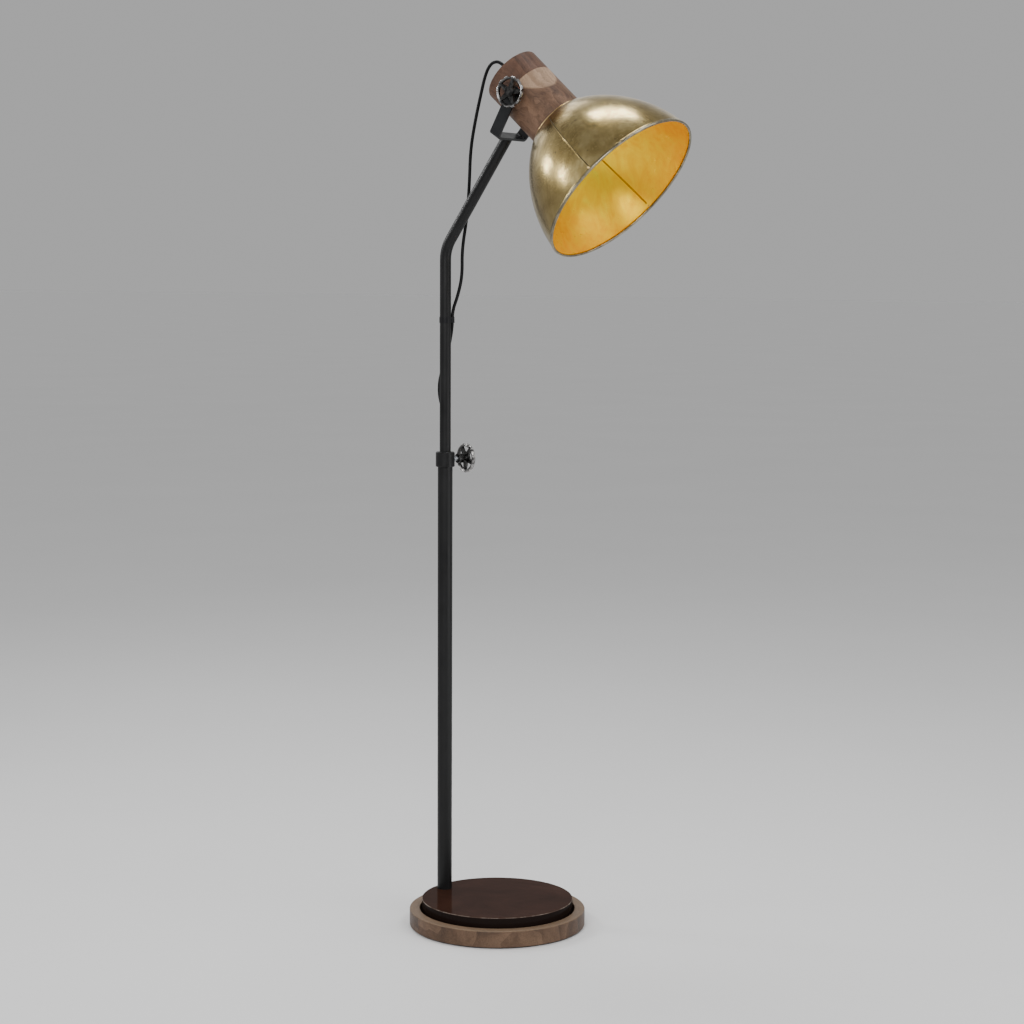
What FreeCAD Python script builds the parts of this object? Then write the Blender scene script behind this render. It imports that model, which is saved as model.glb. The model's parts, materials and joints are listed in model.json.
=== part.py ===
import FreeCAD, Part
import Sketcher
import math
import os

# Adjustable arm floor lamp.
#
# Frame: millimetres, +Z up.  The origin is the centre of the round base on the
# floor, the pole stands at -X, and the arm leans towards +X.  A ribbed thumb
# wheel on the collar clamps the thin tube in the thick one; two more clamp the
# lamp head in its yoke.

DOCUMENT = FreeCAD.newDocument("ArmFloorLamp")
V = FreeCAD.Vector

# ---------------------------------------------------------------- dimensions

SIZES = {
    # base
    "base_dia": 300.0,
    "pad_thick": 2.0,
    "wood_top": 30.0,
    "wood_web": 12.0,
    "recess_dia": 265.0,
    "cover_dia": 258.0,
    "cover_top": 47.0,
    "cover_wall": 3.0,
    "ballast_dia": 248.0,
    "ballast_thick": 12.0,
    "pole_offset": 108.5,
    # pole
    "lower_dia": 25.4,
    "upper_dia": 19.05,
    "tube_wall": 1.2,
    "lower_top": 789.0,
    "collar_dia": 32.4,
    "collar_low": 782.6,
    "collar_top": 808.1,
    "clamp_level": 795.5,
    # arm
    "insert_level": 560.0,
    "bend_level": 1151.8,
    "bend_radius": 60.0,
    "lean_angle": 33.8,
    "arm_reach": 220.0,
    "yoke_reach": 82.5,
    "bar_wide": 20.0,
    "bar_thick": 4.0,
    "yoke_inside": 101.4,
    "yoke_foot": 80.6,
    "yoke_straight": 14.0,
    # head
    "tilt_angle": 42.4,
    "head_dia": 99.5,
    "head_back": 49.5,
    "head_joint": 10.0,
    "head_front": 73.7,
    "head_bore": 54.0,
    "spot_half": 48.0,
    "shade_wall": 0.9,
    "neck_dia": 104.0,
    "dome_start": 78.5,
    "dome_radius": 226.0,
    "rim_level": 232.0,
    "rim_dia": 288.4,
    "bead_dia": 4.4,
    "wire_dia": 2.5,
    # thumb wheels
    "wheel_dia": 51.0,
    "stud_dia": 8.0,
    # cord
    "cord_dia": 5.5,
    "coil_outer": 75.0,
    "coil_inner": 42.0,
    "coil_high": 10.6,
    # running fit of a turning or sliding piece, on the radius
    "fit_gap": 0.05,
}

sheet = DOCUMENT.addObject("Spreadsheet::Sheet", "Sizes")
for row, (alias, value) in enumerate(SIZES.items(), 1):
    sheet.set(f"A{row}", alias)
    sheet.set(f"B{row}", str(value))
    sheet.setAlias(f"B{row}", alias)
DOCUMENT.recompute()


class Size:
    """A length that knows its value and the sheet expression that gives it."""

    def __init__(self, value, text):
        self.value = value
        self.text = text

    @staticmethod
    def of(other):
        return other if isinstance(other, Size) else Size(float(other), repr(float(other)))

    def __add__(self, other):
        other = Size.of(other)
        return Size(self.value + other.value, f"({self.text} + {other.text})")

    def __sub__(self, other):
        other = Size.of(other)
        return Size(self.value - other.value, f"({self.text} - {other.text})")

    def __mul__(self, factor):
        return Size(self.value * factor, f"({self.text} * {factor!r})")

    def __truediv__(self, divisor):
        return Size(self.value / divisor, f"({self.text} / {divisor!r})")

    def __neg__(self):
        return Size(-self.value, f"(0 - {self.text})")

    __radd__ = __add__

    def __rsub__(self, other):
        return Size.of(other) - self


def cell(alias):
    return Size(float(sheet.get(alias)), f"Sizes.{alias}")


def half(alias):
    return cell(alias) / 2


def bind(thing, name, size):
    """Set a property or constraint to a size and keep it tied to the sheet."""
    thing.setExpression(name, Size.of(size).text)


# ------------------------------------------------------------ sketch helpers


def plane(body, role):
    return next(f for f in body.Origin.OriginFeatures if f.Role == role)


def new_body(name, several=False):
    body = DOCUMENT.addObject("PartDesign::Body", name)
    body.Label = name
    body.AllowCompound = several
    return body


def new_sketch(body, role, name, offset=None):
    sketch = body.newObject("Sketcher::SketchObject", name)
    sketch.AttachmentSupport = (plane(body, role), [""])
    sketch.MapMode = "FlatFace"
    if offset is not None:
        bind(sketch, "AttachmentOffset.Base.z", offset)
    return sketch


def pin_point(sketch, side, end, x, y):
    """Hold one end of a side at (x, y) from the sketch's origin."""
    for kind, size, axis in (("DistanceX", Size.of(x), -2), ("DistanceY", Size.of(y), -1)):
        if abs(size.value) < 1e-9:
            sketch.addConstraint(Sketcher.Constraint("PointOnObject", side, end, axis))
            continue
        points = (-1, 1, side, end) if size.value > 0 else (side, end, -1, 1)
        size = size if size.value > 0 else -size
        number = sketch.addConstraint(Sketcher.Constraint(kind, *points, size.value))
        bind(sketch, f"Constraints[{number}]", size)


def draw(sketch, corners):
    """Draw a closed outline.  A corner is (x, y), or (x, y, radius) where the
    side that leaves it is an arc: positive bulges right of the way it goes."""
    count = len(corners)
    spots = [V(Size.of(c[0]).value, Size.of(c[1]).value, 0) for c in corners]
    ends = []
    for k, corner in enumerate(corners):
        start = spots[k]
        stop = spots[(k + 1) % count]
        if len(corner) == 2:
            side = sketch.addGeometry(Part.LineSegment(start, stop), False)
            ends.append((side, 1, 2))
            continue
        radius = Size.of(corner[2])
        along = stop - start
        right = V(along.y, -along.x, 0).normalize()
        reach = abs(radius.value)
        rise = reach - math.sqrt(reach**2 - (along.Length / 2) ** 2)
        middle = (start + stop) * 0.5 + right * math.copysign(rise, radius.value)
        side = sketch.addGeometry(Part.Arc(start, middle, stop), False)
        first = 1 if (sketch.getPoint(side, 1) - start).Length < 1e-6 else 2
        ends.append((side, first, 3 - first))
        number = sketch.addConstraint(Sketcher.Constraint("Radius", side, reach))
        bind(sketch, f"Constraints[{number}]", radius if radius.value > 0 else -radius)
    for k, corner in enumerate(corners):
        side, first, _ = ends[k]
        before, _, last = ends[k - 1]
        sketch.addConstraint(Sketcher.Constraint("Coincident", before, last, side, first))
        pin_point(sketch, side, first, corner[0], corner[1])


def draw_circle(sketch, x, y, radius):
    """Draw a circle whose centre and radius are tied to the sheet."""
    x, y, radius = Size.of(x), Size.of(y), Size.of(radius)
    ring = Part.Circle(V(x.value, y.value, 0), V(0, 0, 1), radius.value)
    side = sketch.addGeometry(ring, False)
    pin_point(sketch, side, 3, x, y)
    number = sketch.addConstraint(Sketcher.Constraint("Radius", side, radius.value))
    bind(sketch, f"Constraints[{number}]", radius)


# ----------------------------------------------------------- feature helpers


def turn(body, name, corners, angle=360.0, centred=False):
    """Revolve an outline of (radius, height) corners about the body's Z axis."""
    sketch = new_sketch(body, "XZ_Plane", name + "_outline")
    draw(sketch, corners)
    feature = body.newObject("PartDesign::Revolution", name)
    feature.Profile = sketch
    feature.ReferenceAxis = (sketch, ["V_Axis"])
    feature.Angle = angle
    feature.Midplane = centred
    sketch.Visibility = False
    return feature


def turned(name, corners):
    """A body that is one turned outline."""
    body = new_body(name)
    turn(body, name + "_turned", corners)
    return body


def pad(body, name, sketch, length, centred=False, reverse=False):
    feature = body.newObject("PartDesign::Pad", name)
    feature.Profile = sketch
    feature.Midplane = centred
    feature.Reversed = reverse
    bind(feature, "Length", length)
    return feature


def pocket(body, name, sketch, depth, centred=False, reverse=False):
    feature = body.newObject("PartDesign::Pocket", name)
    feature.Profile = sketch
    feature.Midplane = centred
    feature.Reversed = reverse
    bind(feature, "Length", depth)
    return feature


def pattern(body, feature, name, count):
    """Repeat a feature round the body's Z axis."""
    DOCUMENT.recompute()
    ring = body.newObject("PartDesign::PolarPattern", name)
    ring.Originals = [feature]
    ring.Axis = (plane(body, "Z_Axis"), [""])
    ring.Angle = 360.0
    ring.Occurrences = count
    body.Tip = ring
    return ring


def hole(body, name, role, x, y, radius, depth):
    """Cut a round hole both ways from one of the body's planes."""
    sketch = new_sketch(body, role, name + "_circle")
    draw_circle(sketch, x, y, radius)
    return pocket(body, name, sketch, depth, centred=True)


def rounded(body, name, radius, wanted):
    """Fillet the edges of the body's present shape that wanted(edge) picks."""
    DOCUMENT.recompute()
    base = body.Tip
    picked = [f"Edge{k}" for k, edge in enumerate(base.Shape.Edges, 1) if wanted(edge)]
    feature = body.newObject("PartDesign::Fillet", name)
    feature.Base = (base, picked)
    bind(feature, "Radius", radius)
    body.Tip = feature
    return feature


def band(low, high, inner, outer):
    """The outline of a plain ring."""
    return [(inner, low), (outer, low), (outer, high), (inner, high)]


SUBPARTS = []


def keep(thing, placement):
    """Place a finished sub-part in the lamp and list it for export."""
    thing.Placement = placement
    SUBPARTS.append(thing)


# ---------------------------------------------------------- reference places

TILT = cell("tilt_angle").value
LEAN = math.radians(cell("lean_angle").value)
POLE = V(-cell("pole_offset").value, 0, 0)
ARM_WAY = V(math.sin(LEAN), 0, math.cos(LEAN))
BEND = POLE + V(0, 0, cell("bend_level").value)
TIP = BEND + ARM_WAY * cell("arm_reach").value
PIVOT = TIP + ARM_WAY * cell("yoke_reach").value

AT_ORIGIN = FreeCAD.Placement()
AT_POLE = FreeCAD.Placement(POLE, FreeCAD.Rotation())
AT_TIP = FreeCAD.Placement(TIP, FreeCAD.Rotation(V(0, 1, 0), math.degrees(LEAN)))
# The head's own Z runs along its axis, from the wood's back to the shade's rim.
AT_HEAD = FreeCAD.Placement(PIVOT, FreeCAD.Rotation(V(0, 1, 0), 90 + TILT))
AT_NEAR = FreeCAD.Placement(PIVOT, FreeCAD.Rotation(V(0, 0, 1), V(0, -1, 0)))
AT_FAR = FreeCAD.Placement(PIVOT, FreeCAD.Rotation(V(0, 0, 1), V(0, 1, 0)))

# ---------------------------------------------------------------------- base

UNDERSIDE = cell("pad_thick")
WEB_TOP = UNDERSIDE + cell("wood_web")
BALLAST_TOP = WEB_TOP + cell("ballast_thick")
COVER_UNDER = cell("cover_top") - cell("cover_wall")
SCREW_RING = 80.0


def make_floor_pad():
    """Felt disc glued under the wood, with a window round the pole bolt."""
    body = turned("floor_pad", [(0, 0), (half("base_dia") - 4, 0), (half("base_dia") - 4, UNDERSIDE), (0, UNDERSIDE)])
    hole(body, "bolt_window", "XY_Plane", -cell("pole_offset"), 0, 14, 10)
    keep(body, AT_ORIGIN)


def make_wood_base():
    """Turned mango dish: a ring wall, and the web that the weight rests on."""
    edge = 1.6
    outer = half("base_dia")
    inner = half("recess_dia")
    top = cell("wood_top")
    body = turned(
        "wood_base",
        [
            (0, UNDERSIDE),
            (outer - edge, UNDERSIDE, edge * 1.0001),
            (outer, UNDERSIDE + edge),
            (outer, top - edge, edge * 1.0001),
            (outer - edge, top),
            (inner + 0.8, top),
            (inner, top - 0.8),
            (inner, WEB_TOP),
            (0, WEB_TOP),
        ],
    )
    hole(body, "bolt_recess", "XY_Plane", -cell("pole_offset"), 0, 12, 2 * (UNDERSIDE.value + 8))
    hole(body, "bolt_hole", "XY_Plane", -cell("pole_offset"), 0, 5.3, 60)
    sketch = new_sketch(body, "XY_Plane", "screw_circle")
    draw_circle(sketch, SCREW_RING, 0, 3.3)
    holes = pocket(body, "screw_hole", sketch, 60, centred=True)
    pattern(body, holes, "screw_holes", 4)
    sink = new_sketch(body, "XY_Plane", "sink_circle")
    draw_circle(sink, SCREW_RING, 0, 5.6)
    sinks = pocket(body, "screw_sink", sink, 2 * (UNDERSIDE.value + 4.6), centred=True)
    pattern(body, sinks, "screw_sinks", 4)
    keep(body, AT_ORIGIN)


def make_ballast():
    """Cast-iron weight, with a boss under the pole's foot."""
    body = turned("ballast", [(0, WEB_TOP), (half("ballast_dia"), WEB_TOP), (half("ballast_dia"), BALLAST_TOP), (0, BALLAST_TOP)])
    sketch = new_sketch(body, "XY_Plane", "boss_circle", WEB_TOP)
    draw_circle(sketch, -cell("pole_offset"), 0, 15)
    pad(body, "boss", sketch, COVER_UNDER - WEB_TOP)
    hole(body, "bolt_hole", "XY_Plane", -cell("pole_offset"), 0, 5.3, 120)
    sketch = new_sketch(body, "XY_Plane", "screw_circle")
    draw_circle(sketch, SCREW_RING, 0, 3 + cell("fit_gap"))
    holes = pocket(body, "screw_hole", sketch, 60, centred=True)
    pattern(body, holes, "screw_holes", 4)
    keep(body, AT_ORIGIN)


def make_base_cover():
    """Black steel pan over the weight, standing proud of the wood."""
    outer = half("cover_dia")
    wall = cell("cover_wall")
    top = cell("cover_top")
    edge = 1.5
    body = turned(
        "base_cover",
        [
            (0, COVER_UNDER),
            (outer - wall, COVER_UNDER),
            (outer - wall, WEB_TOP),
            (outer, WEB_TOP),
            (outer, top - edge, edge * 1.0001),
            (outer - edge, top),
            (0, top),
        ],
    )
    hole(body, "bolt_hole", "XY_Plane", -cell("pole_offset"), 0, 5.3, 120)
    keep(body, AT_ORIGIN)


def make_base_screws():
    """Four cap screws that hold the weight to the wood from below."""
    body = new_body("base_screws", several=True)
    head = new_sketch(body, "XY_Plane", "head_circle", UNDERSIDE + 0.6)
    draw_circle(head, SCREW_RING, 0, 5.2)
    heads = pad(body, "screw_head", head, 4)
    pattern(body, heads, "screw_heads", 4)
    shank = new_sketch(body, "XY_Plane", "shank_circle", UNDERSIDE + 4.6)
    draw_circle(shank, SCREW_RING, 0, 3)
    shanks = pad(body, "shank", shank, 16)
    pattern(body, shanks, "shanks", 4)
    keep(body, AT_ORIGIN)


def make_pole_bolt():
    """Hexagon bolt from below, through wood, weight and cover into the pole."""
    head = DOCUMENT.addObject("Part::Prism", "pole_bolt_head")
    head.Polygon = 6
    head.Circumradius = 9.2
    head.Height = 6.4
    shank = DOCUMENT.addObject("Part::Cylinder", "pole_bolt_shank")
    shank.Radius = 5
    shank.Height = 66
    bolt = DOCUMENT.addObject("Part::Fuse", "pole_bolt")
    bolt.Base = head
    bolt.Tool = shank
    keep(bolt, FreeCAD.Placement(POLE + V(0, 0, UNDERSIDE.value - 0.4), FreeCAD.Rotation()))


def make_pole_washer():
    body = turned("pole_washer", band(UNDERSIDE + 6, UNDERSIDE + 8, 5.2, 10))
    keep(body, AT_POLE)


def make_pole_foot():
    """Threaded steel plug in the bottom of the pole."""
    top = cell("cover_top")
    radius = half("lower_dia") - cell("tube_wall") - cell("fit_gap")
    keep(turned("pole_foot", band(top, top + 28, 5 + cell("fit_gap"), radius)), AT_POLE)


def make_lower_tube():
    outer = half("lower_dia")
    keep(turned("lower_tube", band(cell("cover_top"), cell("lower_top"), outer - cell("tube_wall"), outer)), AT_POLE)


CLAMP_TURN = 68.0
CLAMP_WAY = V(math.cos(math.radians(CLAMP_TURN)), math.sin(math.radians(CLAMP_TURN)), 0)
CLAMP_CENTRE = POLE + V(0, 0, cell("clamp_level").value)
AT_CLAMP = FreeCAD.Placement(CLAMP_CENTRE, FreeCAD.Rotation(V(0, 0, 1), CLAMP_WAY))


def make_clamp_collar():
    """Collar over the top of the thick tube; its wall is tapped for the stud."""
    outer = half("collar_dia")
    socket = half("lower_dia") + cell("fit_gap")
    bush = half("lower_dia") - cell("tube_wall")
    lip = half("upper_dia") + 0.45
    top = cell("collar_top")
    edge = 1.5
    body = turned(
        "clamp_collar",
        [
            (socket, cell("collar_low")),
            (outer - 0.6, cell("collar_low")),
            (outer, cell("collar_low") + 0.6),
            (outer, top - edge),
            (outer - edge, top),
            (lip, top),
            (lip, top - 2.4),
            (bush, top - 2.4),
            (bush, cell("lower_top")),
            (socket, cell("lower_top")),
        ],
    )
    # The stud's hole runs out through one wall only.
    stud_hole = new_sketch(body, "XZ_Plane", "stud_circle")
    draw_circle(stud_hole, 0, cell("clamp_level"), half("stud_dia") + cell("fit_gap"))
    pocket(body, "stud_hole", stud_hole, 30)
    # XZ sketches face -Y, so the collar is turned to bring that wall to the wheel.
    keep(body, FreeCAD.Placement(POLE, FreeCAD.Rotation(V(0, 0, 1), CLAMP_TURN - 90)))


# ------------------------------------------------------------------ the mast


def make_guide_bush():
    """Nylon sleeve between the two tubes, which the clamp squeezes."""
    outer = half("lower_dia") - cell("tube_wall") - cell("fit_gap")
    inner = half("upper_dia") + cell("fit_gap")
    keep(turned("guide_bush", band(744, cell("collar_top") - 2.8, inner, outer)), AT_POLE)


def make_upper_tube():
    """Bent steel tube: a straight stem, one bend and the leaning arm."""
    body = new_body("upper_tube")
    bend = cell("bend_radius").value
    level = cell("bend_level").value
    tangent = bend * math.tan(LEAN / 2)
    low = V(0, cell("insert_level").value, 0)
    start = V(0, level - tangent, 0)
    stop = V(math.sin(LEAN) * tangent, level + math.cos(LEAN) * tangent, 0)
    reach = cell("arm_reach").value
    tip = V(math.sin(LEAN) * reach, level + math.cos(LEAN) * reach, 0)
    middle = V(bend - bend * math.cos(LEAN / 2), level - tangent + bend * math.sin(LEAN / 2), 0)
    path = new_sketch(body, "XZ_Plane", "tube_line")
    stem = path.addGeometry(Part.LineSegment(low, start), False)
    turn_arc = path.addGeometry(Part.Arc(start, middle, stop), False)
    arm = path.addGeometry(Part.LineSegment(stop, tip), False)
    arc_low = 1 if (path.getPoint(turn_arc, 1) - start).Length < 1e-6 else 2
    pin_point(path, stem, 1, 0, cell("insert_level"))
    path.addConstraint(Sketcher.Constraint("Vertical", stem))
    path.addConstraint(Sketcher.Constraint("Tangent", stem, 2, turn_arc, arc_low))
    path.addConstraint(Sketcher.Constraint("Tangent", turn_arc, 3 - arc_low, arm, 1))
    number = path.addConstraint(Sketcher.Constraint("Radius", turn_arc, bend))
    bind(path, f"Constraints[{number}]", cell("bend_radius"))
    number = path.addConstraint(Sketcher.Constraint("DistanceY", -1, 1, stem, 2, start.y))
    lean = "Sizes.lean_angle * 1deg"
    rise = f"Sizes.bend_level - Sizes.bend_radius * tan({lean} / 2)"
    path.setExpression(f"Constraints[{number}]", rise)
    number = path.addConstraint(Sketcher.Constraint("DistanceX", -1, 1, arm, 2, tip.x))
    path.setExpression(f"Constraints[{number}]", f"Sizes.arm_reach * sin({lean})")
    number = path.addConstraint(Sketcher.Constraint("DistanceY", -1, 1, arm, 2, tip.y))
    path.setExpression(f"Constraints[{number}]", f"Sizes.bend_level + Sizes.arm_reach * cos({lean})")
    section = new_sketch(body, "XY_Plane", "tube_section", cell("insert_level"))
    draw_circle(section, 0, 0, half("upper_dia"))
    outside = body.newObject("PartDesign::AdditivePipe", "tube_outside")
    outside.Profile = section
    outside.Spine = path
    DOCUMENT.recompute()
    bore = new_sketch(body, "XY_Plane", "bore_section", cell("insert_level"))
    draw_circle(bore, 0, 0, half("upper_dia") - cell("tube_wall"))
    inside = body.newObject("PartDesign::SubtractivePipe", "tube_inside")
    inside.Profile = bore
    inside.Spine = path
    keep(body, AT_POLE)


def make_mast_glide():
    """Nylon end plug that centres the thin tube in the thick one."""
    low = cell("insert_level")
    rim = half("lower_dia") - cell("tube_wall") - 0.1
    stem = half("upper_dia") - cell("tube_wall") - cell("fit_gap")
    outline = [(0, low - 10), (rim - 1, low - 10), (rim, low - 9), (rim, low), (stem, low), (stem, low + 14), (0, low + 14)]
    keep(turned("mast_glide", outline), AT_POLE)


def make_yoke():
    """Flat bar bent to a U and welded on the end of the arm."""
    body = new_body("yoke")
    inside = half("yoke_inside")
    outside = inside + cell("bar_thick")
    foot_inside = half("yoke_foot")
    foot_outside = foot_inside + cell("bar_thick")
    bar = cell("bar_thick")
    shoulder = cell("yoke_reach") - cell("yoke_straight")
    top = cell("yoke_reach") + half("bar_wide")
    crook = 4.0
    sketch = new_sketch(body, "YZ_Plane", "bar_outline")
    # The two arms spread from the foot and stand parallel at the pivot.
    draw(
        sketch,
        [
            (-foot_outside + 7, 0),
            (foot_outside - 7, 0, 7.3),
            (foot_outside, 7),
            (outside, shoulder),
            (outside, top),
            (inside, top),
            (inside, shoulder),
            (foot_inside, bar + crook, -crook - 0.3),
            (foot_inside - crook, bar),
            (-foot_inside + crook, bar, -crook - 0.3),
            (-foot_inside, bar + crook),
            (-inside, shoulder),
            (-inside, top),
            (-outside, top),
            (-outside, shoulder),
            (-foot_outside, 7, 7.3),
        ],
    )
    pad(body, "bar", sketch, cell("bar_wide"), centred=True)
    hole(body, "stud_holes", "XZ_Plane", 0, cell("yoke_reach"), half("stud_dia") + cell("fit_gap"), 400)
    top_level = top.value
    rounded(
        body,
        "rounded_ends",
        half("bar_wide") - 0.2,
        lambda edge: all(abs(v.Z - top_level) < 0.01 for v in edge.Vertexes)
        and abs(edge.Vertexes[0].Y - edge.Vertexes[-1].Y) > 1,
    )
    keep(body, AT_TIP)


CLIP_LEVEL = 1032.0
CLIP_TURN = 55.0
CORD_BY_TUBE = half("upper_dia") + half("cord_dia") + 0.3


def make_cable_clip():
    """Small black clip that holds the cord on the thin tube."""
    low, high = CLIP_LEVEL - 5, CLIP_LEVEL + 5
    tube = half("upper_dia") + cell("fit_gap")
    body = turned("cable_clip", band(low, high, tube, tube + 0.8))
    eye = new_sketch(body, "XY_Plane", "eye_circle", low)
    draw_circle(eye, CORD_BY_TUBE, 0, half("cord_dia") + 1.1)
    pad(body, "eye", eye, 10)
    bore = new_sketch(body, "XY_Plane", "bore_circle", low)
    draw_circle(bore, CORD_BY_TUBE, 0, half("cord_dia") + cell("fit_gap"))
    pocket(body, "eye_bore", bore, 20, reverse=True)
    mast = new_sketch(body, "XY_Plane", "mast_circle", low)
    draw_circle(mast, 0, 0, tube)
    pocket(body, "mast_bore", mast, 20, reverse=True)
    keep(body, FreeCAD.Placement(POLE, FreeCAD.Rotation(V(0, 0, 1), CLIP_TURN)))


# ------------------------------------------------------------------ the head

BACK = -cell("head_back")
JOINT = -cell("head_joint")
FRONT = cell("head_front")


def make_wood_back():
    """Rear wood block, drilled for the threaded nipple."""
    outer = half("head_dia")
    edge = 1.2
    outline = [
        (5.1, BACK),
        (outer - edge, BACK, edge * 1.0001),
        (outer, BACK + edge),
        (outer, JOINT - 0.3),
        (outer - 0.3, JOINT),
        (5.1, JOINT),
    ]
    body = turned("wood_back", outline)
    dowel_holes(body)
    keep(body, AT_HEAD)


def dowel_holes(body):
    sketch = new_sketch(body, "XY_Plane", "dowel_circle", JOINT)
    spot = 37.0 * math.sqrt(0.5)
    draw_circle(sketch, spot, spot, 4 + cell("fit_gap"))
    holes = pocket(body, "dowel_hole", sketch, 40.4, centred=True)
    pattern(body, holes, "dowel_holes", 4)


def make_wood_front():
    """Front wood block, bored out for the lamp holder."""
    outer = half("head_dia")
    bore = half("head_bore")
    outline = [(bore, JOINT), (outer - 0.3, JOINT), (outer, JOINT + 0.3), (outer, FRONT), (bore, FRONT)]
    body = turned("wood_front", outline)
    for side, way in (("near", 1), ("far", -1)):
        spot = new_sketch(body, "XZ_Plane", f"{side}_spot_circle", cell("spot_half") * way)
        draw_circle(spot, 0, 0, 12)
        pocket(body, f"{side}_spot_face", spot, 10, reverse=way > 0)
    hole(body, "insert_holes", "XZ_Plane", 0, 0, 6, 200)
    dowel_holes(body)
    screws = new_sketch(body, "XY_Plane", "shade_screw_circle", FRONT - 12)
    draw_circle(screws, 0, 38, 1.75 + cell("fit_gap"))
    holes = pocket(body, "shade_screw_hole", screws, 30, reverse=True)
    pattern(body, holes, "shade_screw_holes", 3)
    keep(body, AT_HEAD)


def make_block_dowels():
    """Four beech dowels that pin the glued wood blocks together."""
    body = new_body("block_dowels", several=True)
    sketch = new_sketch(body, "XY_Plane", "dowel_circle", JOINT - 19.5)
    spot = 37.0 * math.sqrt(0.5)
    draw_circle(sketch, spot, spot, 4)
    pattern(body, pad(body, "dowel", sketch, 39), "dowels", 4)
    keep(body, AT_HEAD)


def make_pivot_inserts():
    """Threaded brass inserts in the wood's sides."""
    body = new_body("pivot_inserts", several=True)
    for side, way in (("near", 1), ("far", -1)):
        sketch = new_sketch(body, "XZ_Plane", f"{side}_circles", cell("spot_half") * way)
        draw_circle(sketch, 0, 0, 6 - cell("fit_gap"))
        draw_circle(sketch, 0, 0, half("stud_dia") + cell("fit_gap"))
        pad(body, f"{side}_insert", sketch, 19, reverse=way > 0)
    keep(body, AT_HEAD)


def make_friction_washers():
    """Fibre washers between the wood and the yoke."""
    body = new_body("friction_washers", several=True)
    for side, way in (("near", 1), ("far", -1)):
        sketch = new_sketch(body, "XZ_Plane", f"{side}_circles", cell("spot_half") * way)
        draw_circle(sketch, 0, 0, 9.7)
        draw_circle(sketch, 0, 0, half("stud_dia") + 0.3)
        pad(body, f"{side}_washer", sketch, 2.4, reverse=way < 0)
    keep(body, AT_HEAD)


def make_shade():
    """Spun dome with a stepped neck, a lapped seam and a rolled rim."""
    wall = cell("shade_wall")
    neck = half("neck_dia")
    start = cell("dome_start")
    rim = cell("rim_level")
    end = rim - 1.7
    edge = half("rim_dia") + 0.9
    dome = cell("dome_radius")
    step = 4.0
    body = new_body("shade")
    turn(
        body,
        "dome",
        [
            (24, FRONT),
            (neck, FRONT),
            (neck, FRONT + 2.4),
            (neck + step, FRONT + 2.4),
            (neck + step, start),
            (neck + 2 * step, start, dome),
            (edge, end),
            (edge - wall, end, -(dome - wall)),
            (neck + 2 * step - wall - 0.2, start + wall),
            (neck + step - wall, start + wall),
            (neck + step - wall, FRONT + 2.4 + wall),
            (neck - wall, FRONT + 2.4 + wall),
            (neck - wall, FRONT + wall),
            (24, FRONT + wall),
        ],
    )
    bead = new_sketch(body, "XZ_Plane", "bead_section")
    draw_circle(bead, half("rim_dia"), rim, half("bead_dia"))
    draw_circle(bead, half("rim_dia"), rim, half("wire_dia") + cell("fit_gap"))
    rolled = body.newObject("PartDesign::Revolution", "rolled_rim")
    rolled.Profile = bead
    rolled.ReferenceAxis = (bead, ["V_Axis"])
    rolled.Angle = 360.0
    DOCUMENT.recompute()
    screws = new_sketch(body, "XY_Plane", "screw_circle", FRONT - 1)
    draw_circle(screws, 0, 38, 1.75 + cell("fit_gap"))
    holes = pocket(body, "screw_hole", screws, 5, reverse=True)
    pattern(body, holes, "screw_holes", 3)
    keep(body, AT_HEAD)


SEAM_TURN = -103.8


def make_shade_seam():
    """Two lapped seams, opposite each other: narrow strips from neck to rim."""
    start = cell("dome_start")
    end = cell("rim_level") - 3
    neck = half("neck_dia") + 8
    edge = half("rim_dia") + 0.62
    dome = cell("dome_radius")
    body = new_body("shade_seam", several=True)
    strip = turn(
        body,
        "strip",
        [
            (neck + 2, start + 1.2, dome),
            (edge, end),
            (edge + 0.6, end, -(dome + 0.6)),
            (neck + 2.6, start + 1.2),
        ],
        angle=0.9,
        centred=True,
    )
    pattern(body, strip, "strips", 2)
    keep(body, AT_HEAD.multiply(FreeCAD.Placement(V(0, 0, 0), FreeCAD.Rotation(V(0, 0, 1), SEAM_TURN))))


def make_rim_wire():
    """Steel wire that the shade's edge is rolled round."""
    body = new_body("rim_wire")
    sketch = new_sketch(body, "XZ_Plane", "wire_section")
    draw_circle(sketch, half("rim_dia"), cell("rim_level"), half("wire_dia"))
    ring = body.newObject("PartDesign::Revolution", "wire_ring")
    ring.Profile = sketch
    ring.ReferenceAxis = (sketch, ["V_Axis"])
    ring.Angle = 360.0
    keep(body, AT_HEAD)


def make_shade_screws():
    """Three pan-head screws that hold the shade to the wood's front."""
    body = new_body("shade_screws", several=True)
    shank = new_sketch(body, "XY_Plane", "shank_circle", FRONT - 11)
    draw_circle(shank, 0, 38, 1.75)
    shanks = pad(body, "shank", shank, 11.5 + cell("shade_wall"))
    pattern(body, shanks, "shanks", 3)
    head = new_sketch(body, "XY_Plane", "head_circle", FRONT + cell("shade_wall"))
    draw_circle(head, 0, 38, 3.6)
    heads = pad(body, "screw_head", head, 2.4)
    pattern(body, heads, "screw_heads", 3)
    keep(body, AT_HEAD)


HOLDER_BACK = -4.0
HOLDER_FRONT = 51.0


def make_lamp_holder():
    """Ceramic lamp holder, its threaded shell and its centre contact."""
    outline = [
        (5.05, HOLDER_BACK),
        (16, HOLDER_BACK),
        (20, HOLDER_BACK + 5),
        (20, HOLDER_FRONT),
        (14, HOLDER_FRONT),
        (14, 20),
        (5.05, 20),
    ]
    keep(turned("holder_body", outline), AT_HEAD)
    keep(turned("holder_shell", band(21, 49, 13.4, 13.9)), AT_HEAD)
    keep(turned("holder_contact", [(0, 14), (4.8, 14), (4.8, 21.5), (0, 21.5)]), AT_HEAD)


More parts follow.
